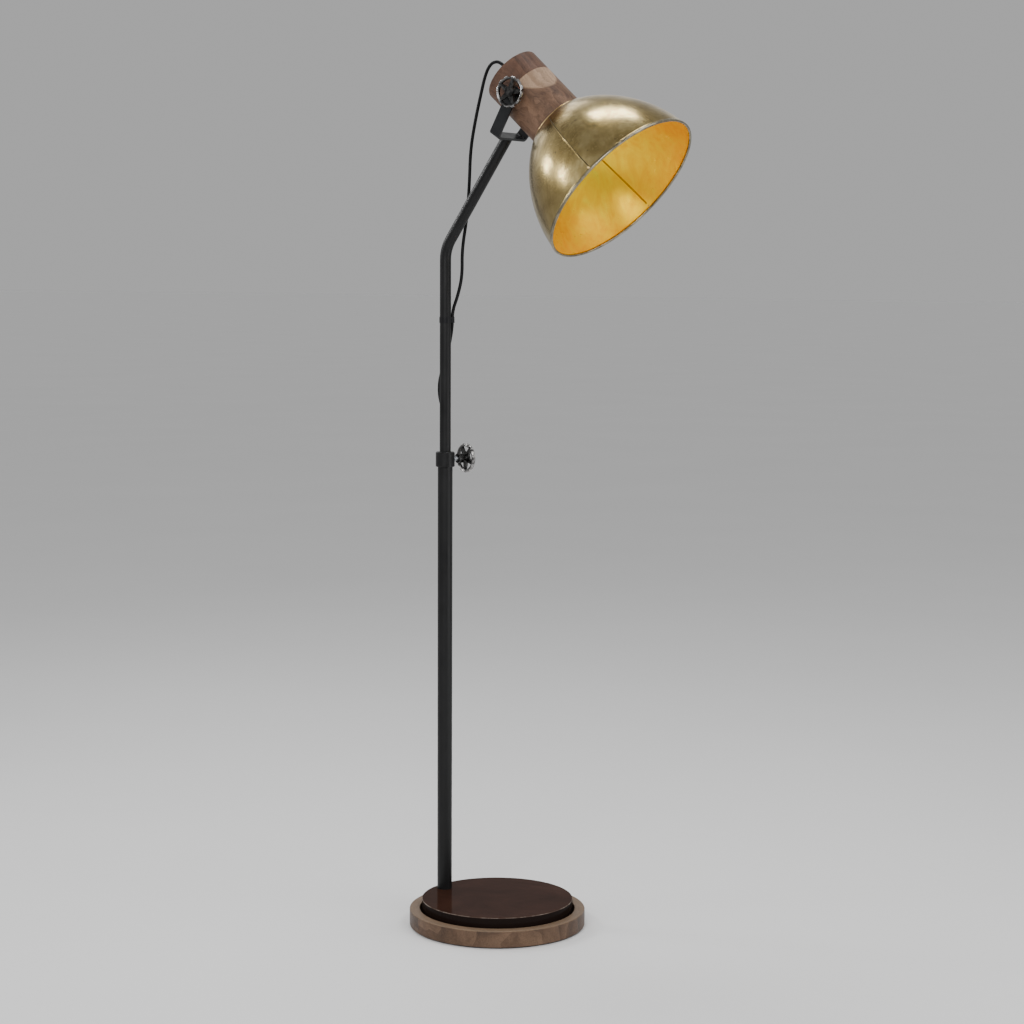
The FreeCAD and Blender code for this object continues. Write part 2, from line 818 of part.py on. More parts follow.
def make_nipple():
    """Threaded tube that carries the holder and lets the cord through."""
    keep(turned("nipple", band(BACK - 6, 12, 3.6, 5)), AT_HEAD)
    nut = DOCUMENT.addObject("Part::Prism", "nipple_nut_blank")
    nut.Polygon = 6
    nut.Circumradius = 8
    nut.Height = 4
    bore = DOCUMENT.addObject("Part::Cylinder", "nipple_nut_bore")
    bore.Radius = 5.05
    bore.Height = 4
    ring = DOCUMENT.addObject("Part::Cut", "nipple_nut")
    ring.Base = nut
    ring.Tool = bore
    keep(ring, AT_HEAD.multiply(FreeCAD.Placement(V(0, 0, -9.2), FreeCAD.Rotation())))


GLAND_LONG = 20.0


def make_cord_gland():
    """Tapered nylon strain relief on the back of the head."""
    bore = half("cord_dia") + cell("fit_gap")
    tip = BACK - GLAND_LONG
    outline = [
        (5 + cell("fit_gap"), BACK),
        (8, BACK),
        (8, BACK - 5),
        (6.6, BACK - 6.5),
        (bore + 1.1, tip),
        (bore, tip),
        (bore, BACK - 6.2),
        (5 + cell("fit_gap"), BACK - 6.2),
    ]
    keep(turned("cord_gland", outline), AT_HEAD)


def make_core_wires():
    """The cord's two cores inside the nipple."""
    body = new_body("core_wires", several=True)
    for side, way in (("live", 1), ("neutral", -1)):
        sketch = new_sketch(body, "XY_Plane", f"{side}_circle", BACK - GLAND_LONG)
        draw_circle(sketch, 0, 1.5 * way, 1.1)
        pad(body, f"{side}_core", sketch, 76)
    keep(body, AT_HEAD)


def make_bulb():
    """Small round bulb in its threaded cap."""
    cap = [(0, 22), (4, 22), (8, 25.5), (13.3, 27), (13.3, 49.5), (12, 50.5), (0, 50.5)]
    keep(turned("bulb_cap", cap), AT_HEAD)
    glass = [(0, 50.5), (12, 50.5), (13.5, 55), (18, 62.5, 22.5), (0, 98.5)]
    keep(turned("bulb_glass", glass), AT_HEAD)


# -------------------------------------------------------------- thumb wheels


def make_wheel(name, placement, plane_out, lift):
    """Cast hand wheel: scalloped rim, five spokes and a hub."""
    body = new_body(name, several=True)
    rim_half = 3.6
    outer = half("wheel_dia")
    inner = outer - 5.4
    middle = outer - 2.9
    turn(
        body,
        "rim",
        [
            (inner, plane_out - rim_half + 1.4),
            (middle, plane_out - rim_half, 3.7),
            (middle, plane_out + rim_half),
            (inner, plane_out + rim_half - 1.4),
        ],
    )
    DOCUMENT.recompute()
    scallop = new_sketch(body, "XY_Plane", "scallop_circle", plane_out)
    draw_circle(scallop, outer + 2.4, 0, 4.7)
    notch = pocket(body, "scallop", scallop, 20, centred=True)
    pattern(body, notch, "scallops", 12)
    hub = new_sketch(body, "XY_Plane", "hub_circle", lift)
    draw_circle(hub, 0, 0, 8)
    pad(body, "hub", hub, plane_out + 4.2 - lift)
    spoke = new_sketch(body, "XY_Plane", "spoke_outline", plane_out - 2.4)
    draw(spoke, [(5, -4.6), (inner + 1.4, -2.4), (inner + 1.4, 2.4), (5, 4.6)])
    spokes = pad(body, "spoke", spoke, 4.4)
    pattern(body, spokes, "spokes", 5)
    bore = new_sketch(body, "XY_Plane", "bore_circle", lift)
    draw_circle(bore, 0, 0, half("stud_dia") - 0.5)
    pocket(body, "stud_bore", bore, 8, reverse=True)
    keep(body, placement)


def make_stud(name, placement, low, high):
    """Threaded stud with a narrower end pressed into the wheel's hub."""
    radius = half("stud_dia")
    neck = radius - 0.5 - cell("fit_gap")
    tail = high + 7.5
    outline = [(0, low), (radius - 0.8, low), (radius, low + 0.8), (radius, high), (neck, high), (neck, tail), (0, tail)]
    keep(turned(name, outline), placement)


YOKE_OUT = SIZES["yoke_inside"] / 2 + SIZES["bar_thick"]
HEAD_WHEEL_OUT = 66.0
HEAD_HUB_OUT = YOKE_OUT + 0.3
COLLAR_WHEEL_OUT = 43.0
COLLAR_HUB_OUT = 25.0


def make_thumb_wheels():
    for side, placement in (("near", AT_NEAR), ("far", AT_FAR)):
        make_wheel(f"{side}_wheel", placement, HEAD_WHEEL_OUT, HEAD_HUB_OUT)
        make_stud(f"{side}_stud", placement, 32.0, HEAD_HUB_OUT)
    make_wheel("collar_wheel", AT_CLAMP, COLLAR_WHEEL_OUT, COLLAR_HUB_OUT)
    make_stud("collar_stud", AT_CLAMP, 13.4, COLLAR_HUB_OUT)
    pad_outline = [(0, 11.6), (3.4, 11.6), (3.4, 13.35), (0, 13.35)]
    keep(turned("pressure_pad", pad_outline), AT_CLAMP)


# ------------------------------------------------------------------ the cord
#
# The cord hangs from the head to the clip, runs down behind the pole, crosses
# the base's rear edge and is stored in a neat coil behind the base.  rear()
# gives a place there: to one side, rearwards, and up.

REAR_TURN = math.radians(32.0)
REAR_SIDE = V(math.cos(REAR_TURN), math.sin(REAR_TURN), 0)
REAR_WAY = V(-math.sin(REAR_TURN), math.cos(REAR_TURN), 0)
COIL_SIDE, COIL_REAR = 50.0, 193.0
FLOOR_LEVEL = cell("cord_dia").value / 2 + 0.25


def rear(side, back, up):
    return REAR_SIDE * side + REAR_WAY * back + V(0, 0, up)


def by_pole(x, y, z):
    return POLE + V(x, y, z)


def tube(name, points):
    """Cord through a route of points: straight runs joined by tangent arcs."""
    edges = []
    radii = []
    here = points[0]
    length = 0.0
    for before, corner, after in zip(points, points[1:], points[2:]):
        arrive = corner - before
        leave = after - corner
        turn_angle = arrive.getAngle(leave)
        cut = 0.45 * min(arrive.Length, leave.Length)
        radius = cut / math.tan(turn_angle / 2)
        radii.append(radius)
        arrive.normalize()
        leave.normalize()
        begin = corner - arrive * cut
        finish = corner + leave * cut
        inward = (leave - arrive).normalize()
        sagitta = radius / math.cos(turn_angle / 2) - radius
        middle = corner + inward * sagitta
        edges.append(Part.LineSegment(here, begin).toShape())
        edges.append(Part.Arc(begin, middle, finish).toShape())
        length += (begin - here).Length + radius * turn_angle
        here = finish
    edges.append(Part.LineSegment(here, points[-1]).toShape())
    length += (points[-1] - here).Length
    line = Part.Wire(edges)
    section = Part.Wire([Part.Circle(points[0], points[1] - points[0], half("cord_dia").value).toShape()])
    swept = line.makePipeShell([section], True, False)
    cord = DOCUMENT.addObject("Part::Feature", name)
    cord.Label = name
    cord.Shape = swept
    area = math.pi * half("cord_dia").value ** 2
    ratio = swept.Volume / (area * length)
    print(f"{name}: {length:.0f} mm, radii {min(radii):.0f} to {max(radii):.0f} mm, volume ratio {ratio:.4f}")
    keep(cord, AT_ORIGIN)
    return length


def on_clip(level):
    reach = CORD_BY_TUBE.value
    turn_angle = math.radians(CLIP_TURN)
    return by_pole(reach * math.cos(turn_angle), reach * math.sin(turn_angle), level)


GLAND_TIP = AT_HEAD.multVec(V(0, 0, BACK.value - GLAND_LONG))
HEAD_AXIS = AT_HEAD.Rotation.multVec(V(0, 0, 1))

HEAD_ROUTE = [
    GLAND_TIP,
    GLAND_TIP - HEAD_AXIS * 12.4,
    V(-14.0, 0.5, 1458.9),
    V(-24.2, 1.5, 1451.3),
    V(-32.4, 2.5, 1435.2),
    V(-40.4, 3.5, 1408.0),
    V(-53.0, 6.5, 1367.0),
    V(-65.6, 10.5, 1317.0),
    V(-69.4, 13.5, 1262.0),
    V(-75.0, 15.5, 1206.0),
    V(-85.8, 16.0, 1151.0),
    V(-84.0, 14.5, 1106.0),
    V(-92.0, 12.5, 1072.0),
    on_clip(1047),
    on_clip(CLIP_LEVEL),
]
RISER_ROUTE = [
    on_clip(CLIP_LEVEL),
    on_clip(1019),
    by_pole(-5.0, 18.3, 985),
    by_pole(-13.8, 15.0, 957),
    by_pole(-19.3, 6.1, 915),
    by_pole(-14.0, 14.3, 874),
    by_pole(-11.5, 17.8, 834),
    by_pole(-11.0, 16.8, 788),
    by_pole(-11.4, 16.7, 733),
    by_pole(-9.0, 14.4, 666),
    by_pole(-9.4, 15.2, 594),
    by_pole(-8.8, 14.6, 524),
    by_pole(-9.3, 14.6, 456),
]
FALL_ROUTE = [
    by_pole(-9.3, 14.6, 456),
    by_pole(-9.8, 14.6, 390),
    by_pole(-9.5, 14.6, 320),
    by_pole(-9.1, 15.0, 252),
    by_pole(-8.0, 15.4, 190),
    by_pole(-9.2, 15.2, 134),
]
POLE_SIDE = POLE.dot(REAR_SIDE)
POLE_REAR = POLE.dot(REAR_WAY)
FLOOR_ROUTE = [
    by_pole(-9.2, 15.2, 134),
    rear(POLE_SIDE - 0.3, POLE_REAR + 18, 106),
    rear(POLE_SIDE - 0.8, POLE_REAR + 24, 78),
    rear(POLE_SIDE - 1.8, POLE_REAR + 38.5, 53),
    rear(POLE_SIDE - 2.5, POLE_REAR + 60, 36),
    rear(POLE_SIDE + 0.5, POLE_REAR + 82, 24.5),
    rear(POLE_SIDE + 9.5, POLE_REAR + 101, 15.6),
    rear(POLE_SIDE + 25, POLE_REAR + 112, 10.6),
    rear(POLE_SIDE + 41, POLE_REAR + 114.5, 9),
]
SWITCH_START = rear(POLE_SIDE + 41.0, POLE_REAR + 114.5, 9)
SWITCH_LONG = 62.0
SWITCH_END = SWITCH_START + REAR_SIDE * SWITCH_LONG
LEAD_ROUTE = [
    SWITCH_END,
    SWITCH_END + REAR_SIDE * 10 + V(0, 0, -1.6),
    SWITCH_END + REAR_SIDE * 20 + REAR_WAY * -3 + V(0, 0, -3.4),
    rear(COIL_SIDE - 8, COIL_REAR - 30.4, 4.5),
]
PLUG_BACK = rear(-8.0, 214.0, 7.0)
TAIL_ROUTE = [
    rear(COIL_SIDE - 4, COIL_REAR + 30.2, 4.5),
    rear(COIL_SIDE - 17, COIL_REAR + 29.5, 4.2),
    rear(COIL_SIDE - 31, COIL_REAR + 26.0, 4.6),
    rear(4.0, 214.6, 6.4),
    PLUG_BACK,
]


def make_cord():
    tube("cord_head", HEAD_ROUTE)
    tube("cord_riser", RISER_ROUTE)
    tube("cord_fall", FALL_ROUTE)
    tube("cord_floor", FLOOR_ROUTE)
    tube("cord_lead", LEAD_ROUTE)
    tube("cord_tail", TAIL_ROUTE)
    coil = turned("cord_coil", band(0.25, cell("coil_high") + 0.25, half("coil_inner"), half("coil_outer")))
    keep(coil, FreeCAD.Placement(rear(COIL_SIDE, COIL_REAR, 0), FreeCAD.Rotation()))


ALONG_REAR = FreeCAD.Rotation(V(0, 0, 1), 32.0)


def make_switch():
    """Two-part in-line switch with a rocker, lying on the floor."""
    wide = 24.0
    length = SWITCH_LONG
    bottom = new_body("switch_base")
    sketch = new_sketch(bottom, "XY_Plane", "base_outline", 0.3)
    draw(sketch, [(0, -7), (9, -wide / 2), (length - 9, -wide / 2), (length, -7), (length, 7), (length - 9, wide / 2), (9, wide / 2), (0, 7)])
    pad(bottom, "shell", sketch, 8.7)
    cord_hole(bottom, length)
    top = new_body("switch_cover")
    sketch = new_sketch(top, "XY_Plane", "cover_outline", 9.0)
    draw(sketch, [(0, -7), (9, -wide / 2), (length - 9, -wide / 2), (length, -7), (length, 7), (length - 9, wide / 2), (9, wide / 2), (0, 7)])
    pad(top, "shell", sketch, 7.0)
    cord_hole(top, length)
    window = new_sketch(top, "XY_Plane", "window_outline", 16.0)
    centre = length / 2
    draw(window, [(centre - 10.4, -6.4), (centre + 10.4, -6.4), (centre + 10.4, 6.4), (centre - 10.4, 6.4)])
    pocket(top, "window", window, 6.0)
    place = FreeCAD.Placement(SWITCH_START - V(0, 0, 9), ALONG_REAR)
    keep(bottom, place)
    keep(top, place)
    rocker = new_body("switch_rocker")
    sketch = new_sketch(rocker, "XZ_Plane", "rocker_outline")
    draw(
        sketch,
        [(centre - 9.6, 13.0), (centre - 5, 11.4), (centre + 5, 11.4), (centre + 9.6, 13.0), (centre + 9.2, 18.6), (centre, 15.4), (centre - 9.2, 16.6)],
    )
    pad(rocker, "rocker_bar", sketch, 11.6, centred=True)
    keep(rocker, place)


def cord_hole(body, length):
    """Opening for the cord at each end, on the parting plane."""
    for side, level in (("entry", 0.0), ("outlet", length - 6.0)):
        sketch = new_sketch(body, "YZ_Plane", f"{side}_circle", level)
        draw_circle(sketch, 0, 9.0, half("cord_dia") + cell("fit_gap"))
        pocket(body, f"{side}_hole", sketch, 6.0, reverse=True)


def make_plug():
    """Flat two-pin plug with a moulded boot, lying beside the coil."""
    way = -REAR_SIDE
    turn_to = FreeCAD.Rotation(V(0, 0, 1), 32.0 + 180.0)
    boot = new_body("plug_body")
    turn_sketch = new_sketch(boot, "YZ_Plane", "boot_circle", 0.0)
    draw_circle(turn_sketch, 0, 0, 4.0)
    tip_sketch = new_sketch(boot, "YZ_Plane", "boot_end_circle", 20.0)
    draw_circle(tip_sketch, 0, 0, 6.2)
    loft = boot.newObject("PartDesign::AdditiveLoft", "boot")
    loft.Profile = turn_sketch
    loft.Sections = [tip_sketch]
    DOCUMENT.recompute()
    sketch = new_sketch(boot, "XY_Plane", "grip_outline", -6.6)
    draw(sketch, [(16, -6), (22, -11.5), (40, -13), (48, -10), (48, 10), (40, 13), (22, 11.5), (16, 6)])
    pad(boot, "grip", sketch, 13.2)
    keep(boot, FreeCAD.Placement(PLUG_BACK, turn_to))
    pins = new_body("plug_pins", several=True)
    for side, offset in (("live", 9.3), ("neutral", -9.3)):
        circle = new_sketch(pins, "YZ_Plane", f"{side}_circle", 48.0)
        draw_circle(circle, offset, 0, 2.0)
        pad(pins, f"{side}_pin", circle, 19)
    keep(pins, FreeCAD.Placement(PLUG_BACK, turn_to))


# ------------------------------------------------------------------ assembly


def make_lamp():
    make_floor_pad()
    make_wood_base()
    make_ballast()
    make_base_cover()
    make_base_screws()
    make_pole_bolt()
    make_pole_washer()
    make_pole_foot()
    make_lower_tube()
    make_clamp_collar()
    make_guide_bush()
    make_upper_tube()
    make_mast_glide()
    make_yoke()
    make_cable_clip()
    make_wood_back()
    make_wood_front()
    make_block_dowels()
    make_pivot_inserts()
    make_friction_washers()
    make_shade()
    make_shade_seam()
    make_rim_wire()
    make_shade_screws()
    make_lamp_holder()
    make_nipple()
    make_cord_gland()
    make_core_wires()
    make_bulb()
    make_thumb_wheels()
    make_cord()
    make_switch()
    make_plug()


def write_parts():
    DOCUMENT.recompute()
    for thing in DOCUMENT.Objects:
        bad = [word for word in thing.State if word in ("Invalid", "Error")]
        if bad:
            raise RuntimeError(f"{thing.Name} is {bad}: {thing.getStatusString()}")
    os.makedirs("parts", exist_ok=True)
    for thing in SUBPARTS:
        shape = thing.Shape
        if shape.isNull() or not shape.isValid():
            raise RuntimeError(f"{thing.Label} has no valid shape")
        shape.exportStep(f"parts/{thing.Label}.step")
        box = shape.BoundBox
        print(f"{thing.Label}: {len(shape.Solids)} solids, {shape.Volume / 1000:.2f} cm3, z {box.ZMin:.1f} to {box.ZMax:.1f}")
    print(f"{len(SUBPARTS)} sub-parts")


make_lamp()
write_parts()
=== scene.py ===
# %% [markdown]
# # Adjustable arm floor lamp: finishes and detail
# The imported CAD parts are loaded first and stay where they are.  Each step below
# gives some of them their finish, or builds a finer piece in the place of one.
# Lengths are metres, except in the cord's helpers, which take millimetres.  +Z is
# up, and the lamp's arm leans towards +X.

# %% Load the fixed frame
import bpy
import json
import math
import numpy as np
from mathutils import Euler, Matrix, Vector


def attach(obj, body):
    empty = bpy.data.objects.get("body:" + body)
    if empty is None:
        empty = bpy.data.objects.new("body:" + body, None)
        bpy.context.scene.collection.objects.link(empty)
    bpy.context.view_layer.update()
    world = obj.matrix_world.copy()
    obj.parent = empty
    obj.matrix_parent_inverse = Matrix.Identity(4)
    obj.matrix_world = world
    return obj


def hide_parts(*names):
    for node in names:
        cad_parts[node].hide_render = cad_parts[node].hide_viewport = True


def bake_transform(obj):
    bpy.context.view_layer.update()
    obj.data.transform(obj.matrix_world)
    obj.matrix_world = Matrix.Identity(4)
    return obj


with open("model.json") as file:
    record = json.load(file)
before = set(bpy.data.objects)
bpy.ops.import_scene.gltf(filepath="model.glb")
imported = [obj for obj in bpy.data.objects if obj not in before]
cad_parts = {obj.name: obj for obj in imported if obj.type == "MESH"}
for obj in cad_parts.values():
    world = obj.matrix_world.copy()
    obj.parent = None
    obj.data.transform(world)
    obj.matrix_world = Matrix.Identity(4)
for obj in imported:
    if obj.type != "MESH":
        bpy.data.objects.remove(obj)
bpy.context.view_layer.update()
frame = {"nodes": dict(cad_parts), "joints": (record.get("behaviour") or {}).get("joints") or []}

# %% [markdown]
# ## Reference places
# The head turns about the pivot, which the record gives as a joint.  Its axis
# runs from the back of the wood out through the shade's mouth, so a place on the
# head is easiest to say as (across, sideways, along) from the pivot.

# %% The head's own axes
TILT = math.radians(42.4)
POLE = np.array([-0.1085, 0.0, 0.0])
tilt_joint = next(j for j in frame["joints"] if j["name"] == "head_tilt")
PIVOT = np.array(tilt_joint["pos_m"])
ALONG = np.array([math.cos(TILT), 0.0, -math.sin(TILT)])
ACROSS = np.array([-math.sin(TILT), 0.0, -math.cos(TILT)])
SIDEWAYS = np.array([0.0, 1.0, 0.0])


def head_place(across, sideways, along):
    """Pivot plus each distance times its own unit direction."""
    a, s, d = (np.asarray(way, float)[..., None] for way in (across, sideways, along))
    return PIVOT + a * ACROSS + s * SIDEWAYS + d * ALONG


print("head pivot", PIVOT, "head axis", ALONG.round(3))

# %% [markdown]
# ## Camera
# A long lens from a distance of about four metres keeps the pole straight and
# the base's oval shallow.  The camera looks slightly down.  It stands a third of a
# right angle round from the lamp's -Y side, towards the front of the arm.

# %% Camera
CAMERA_AT = Vector((2.0661, -3.2656, 1.1172))
CAMERA_TURN = math.radians(31.99)
CAMERA_DIP = math.radians(6.0)
CAMERA_ROLL = math.radians(0.26)
CAMERA_LENS = 81.06
CAMERA_REACH = 300.0
camera_data = bpy.data.cameras.new("camera")
camera_data.sensor_width = 36.0
camera_data.lens = CAMERA_LENS
camera_data.clip_end = CAMERA_REACH
camera = bpy.data.objects.new("camera", camera_data)
bpy.context.scene.collection.objects.link(camera)
look = Euler((math.pi / 2 - CAMERA_DIP, 0.0, CAMERA_TURN), "XYZ").to_matrix()
roll = Euler((0.0, 0.0, CAMERA_ROLL), "XYZ").to_matrix()
camera.location = CAMERA_AT
camera.rotation_euler = (look @ roll).to_euler()
bpy.context.scene.camera = camera
print("camera at", tuple(CAMERA_AT), "lens", camera_data.lens)

# %% [markdown]
# ## Light
# Brass shows what stands round it.  A long box right overhead gives the broad
# sheen on the dome, two small ones on the left give the bright window marks, and
# one in front and above lights the lining.  A key box on the right, a low fill and
# a box behind light the rest.  The sky has the floor's own brightness at the
# horizon, a paler band above it, and is darker overhead so that the metal has
# contrast.

# %% Soft boxes and sky
RIGHT = Vector((math.cos(CAMERA_TURN), math.sin(CAMERA_TURN), 0.0))
NEAR = Vector((math.sin(CAMERA_TURN), -math.cos(CAMERA_TURN), 0.0))
HEAD_CENTRE = Vector(head_place(0, 0, 0.12))


def soft_box(name, right, near, up, wide, high, power):
    """Rectangular area light, placed from the head and turned to face it."""
    data = bpy.data.lights.new(name, "AREA")
    data.shape = "RECTANGLE"
    data.size, data.size_y = wide, high
    data.energy = power
    lamp = bpy.data.objects.new(name, data)
    bpy.context.scene.collection.objects.link(lamp)
    lamp.location = HEAD_CENTRE + RIGHT * right + NEAR * near + Vector((0, 0, up))
    lamp.rotation_euler = (HEAD_CENTRE - lamp.location).to_track_quat("-Z", "Y").to_euler()


soft_box("key_box", 1.3, 0.9, 1.5, 1.7, 1.2, 26.0)
soft_box("top_box", -0.10, -0.50, 1.75, 0.95, 0.42, 20.0)
soft_box("left_slit", -1.82, -0.66, 0.46, 0.17, 0.26, 7.0)
soft_box("left_box", -1.94, 0.16, 0.42, 0.24, 0.34, 4.5)
soft_box("front_box", -0.90, 4.10, 1.50, 2.0, 2.0, 125.0)
soft_box("low_fill", 2.2, 1.1, -0.7, 1.3, 1.3, 12.0)
soft_box("back_box", -1.2, -2.2, 1.6, 1.5, 1.5, 16.0)

world = bpy.data.worlds.new("studio")
bpy.context.scene.world = world
world.use_nodes = True
sky = world.node_tree
sky_place = sky.nodes.new("ShaderNodeTexCoord")
sky_split = sky.nodes.new("ShaderNodeSeparateXYZ")
sky_ramp = sky.nodes.new("ShaderNodeValToRGB")
sky.links.new(sky_place.outputs["Generated"], sky_split.inputs[0])
sky.links.new(sky_split.outputs["Z"], sky_ramp.inputs[0])
sky.links.new(sky_ramp.outputs[0], sky.nodes["Background"].inputs["Color"])
SKY_STOPS = ((0.12, 0.365), (0.24, 0.85), (0.70, 0.32))
SKY_STRENGTH = 1.2
sky_ramp.color_ramp.elements.new(0.5)
for stop, (height, grey) in zip(sky_ramp.color_ramp.elements, SKY_STOPS):
    stop.position = height
    stop.color = (grey, grey, grey, 1)
sky.nodes["Background"].inputs["Strength"].default_value = SKY_STRENGTH

# %% [markdown]
# ## A workbench for finishes
# Every finish is a small tree of nodes that ends in one Principled shader.  They
# could be wired by hand in the shader editor, but one class keeps all the trees
# short and alike: it starts a finish, adds nodes and wires them, and turns a noise
# into a colour or a number between two ends.

# %% Finish helpers


class Finish:
    """One material and its node tree; add() puts a node in and wires its inputs."""

    def __init__(self, name, metallic=0.0, coat=0.0, coat_roughness=0.1, ior=1.5, specular=0.5):
        self.material = bpy.data.materials.new(name)
        self.material.use_nodes = True
        self.tree = self.material.node_tree
        self.shader = self.tree.nodes["Principled BSDF"]
        self.shader.inputs["Metallic"].default_value = metallic
        self.shader.inputs["Coat Weight"].default_value = coat
        self.shader.inputs["Coat Roughness"].default_value = coat_roughness
        self.shader.inputs["IOR"].default_value = ior
        self.shader.inputs["Specular IOR Level"].default_value = specular

    def add(self, kind, settings=None, **inputs):
        """A new node; an input is named, or is said by its number as "0"."""
        node = self.tree.nodes.new("ShaderNode" + kind)
        for key, value in (settings or {}).items():
            setattr(node, key, value)
        for key, value in inputs.items():
            self.wire(node, key.replace("_", " "), value)
        return node

    def wire(self, node, key, value):
        socket = node.inputs[int(key)] if key.isdigit() else node.inputs[key]
        if isinstance(value, bpy.types.NodeSocket):
            self.tree.links.new(value, socket)
        else:
            socket.default_value = value

    def place(self, turn=(0, 0, 0), shift=(0, 0, 0), scale=(1, 1, 1)):
        """The piece's own coordinates, turned, shifted and stretched."""
        own = self.add("TexCoord").outputs["Object"]
        mapping = self.add("Mapping", Vector=own, Location=shift, Rotation=turn, Scale=scale)
        return mapping.outputs["Vector"]

    def noise(self, where, scale, detail=4.0, roughness=0.55, distortion=0.0):
        """Cloudy values between 0 and 1; scale is how many clouds fit in a metre."""
        node = self.add(
            "TexNoise", Vector=where, Scale=scale, Detail=detail,
            Roughness=roughness, Distortion=distortion,
        )
        return node.outputs["Fac"]

    def ramp(self, value, *stops):
        """Colour ramp through (position, colour) stops; a plain number is a grey."""
        node = self.add("ValToRGB", Fac=value)
        points = node.color_ramp.elements
        while len(points) < len(stops):
            points.new(0.5)
        for point, (position, colour) in zip(points, stops):
            point.position = position
            grey = isinstance(colour, (int, float))
            point.color = (colour, colour, colour, 1) if grey else (*colour, 1)
        return node.outputs["Color"]

    def span(self, value, low, high, from_low=0.3, from_high=0.7):
        """A number that goes from low to high as value goes between two ends."""
        node = self.add("MapRange")
        for key, number in enumerate((value, from_low, from_high, low, high)):
            self.wire(node, str(key), number)
        return node.outputs[0]

    def mix(self, share, first, second):
        """The first colour where share is 0, and the second where it is 1."""
        node = self.add("Mix", {"data_type": "RGBA"})
        for key, value in (("0", share), ("6", first), ("7", second)):
            is_colour = isinstance(value, tuple) and len(value) == 3
            self.wire(node, key, (*value, 1) if is_colour else value)
        return node.outputs[2]

    def combine(self, first, second, way="ADD"):
        """Two numbers added, or joined in another way of the Math node."""
        return self.add("Math", {"operation": way}, **{"0": first, "1": second}).outputs[0]

    def bump(self, height, distance, strength, under=None):
        """A relief as deep as distance, laid over the relief under it."""
        inputs = {"Height": height, "Distance": distance, "Strength": strength}
        if under is not None:
            inputs["Normal"] = under
        return self.add("Bump", **inputs).outputs["Normal"]

    def finish(self, colour, roughness, normal=None):
        """Wire the shader's inputs and hand over the material."""
        self.wire(self.shader, "Base Color", colour)
        self.wire(self.shader, "Roughness", roughness)
        if normal is not None:
            self.wire(self.shader, "Normal", normal)
        return self.material


FINISHED = {}


def dress(material, *nodes):
    """Give CAD nodes a finish in place of their plain one."""
    for name in nodes:
        data = frame["nodes"][name].data
        data.materials.clear()
        data.materials.append(material)
        FINISHED[name] = material.name
    print(material.name, "on", ", ".join(nodes))


# Turning the piece's coordinates by this brings the head's axis onto Z.
HEAD_TURN = Euler((0.0, math.pi / 2 + TILT, 0.0)).to_matrix().inverted()
TO_HEAD = {
    "turn": tuple(HEAD_TURN.to_euler()),
    "shift": tuple(-(HEAD_TURN @ Vector(PIVOT))),
}
print("head axis turns to", tuple(round(v, 3) for v in HEAD_TURN @ Vector(ALONG)))

# %% [markdown]
# ## Black powder coat
# The tubes, the collar and the yoke are steel with a baked powder coat.  It is
# nearly black, has a fine orange-peel skin, and shines softly where light falls
# along an edge.  Noise at two sizes gives the skin and the faint dust.

# %% Powder coat on the pole, arm and yoke


def powder_coat(name, colour, gloss):
    f = Finish(name, specular=0.24)
    where = f.place()
    peel = f.noise(where, 1400.0, 2.0)
    dust = f.noise(where, 26.0, 6.0, 0.65)
    tone = f.ramp(dust, (0.35, colour), (0.75, tuple(1.6 * c + 0.001 for c in colour)))
    rough = f.span(dust, gloss, gloss + 0.16)
    return f.finish(tone, rough, f.bump(peel, 0.00006, 0.5))


dress(
    powder_coat("black_powder_coat", (0.0040, 0.0040, 0.0042), 0.30),
    "lower_tube", "upper_tube", "clamp_collar", "pole_foot",
)
dress(powder_coat("yoke_powder_coat", (0.0055, 0.0062, 0.0070), 0.30), "yoke")

# %% [markdown]
# ## The weighted base
# The pressed steel cover is enamelled brown-black and polished by cloths, so it
# carries blurred reflections and a few warm rubbed places.  Its side is painted
# darker as painted shade, and its top edge carries a painted highlight in patches,
# a thin bright line.  Both could be painted by hand, but the height above the floor
# already says where the side and the edge are.

# %% Enamel on the base cover
COVER_SIDE_SHADE_END = 0.0450
COVER_EDGE_HIGHLIGHT_LOW = (0.0454, 0.0462)
COVER_EDGE_HIGHLIGHT_HIGH = (0.0464, 0.0469)


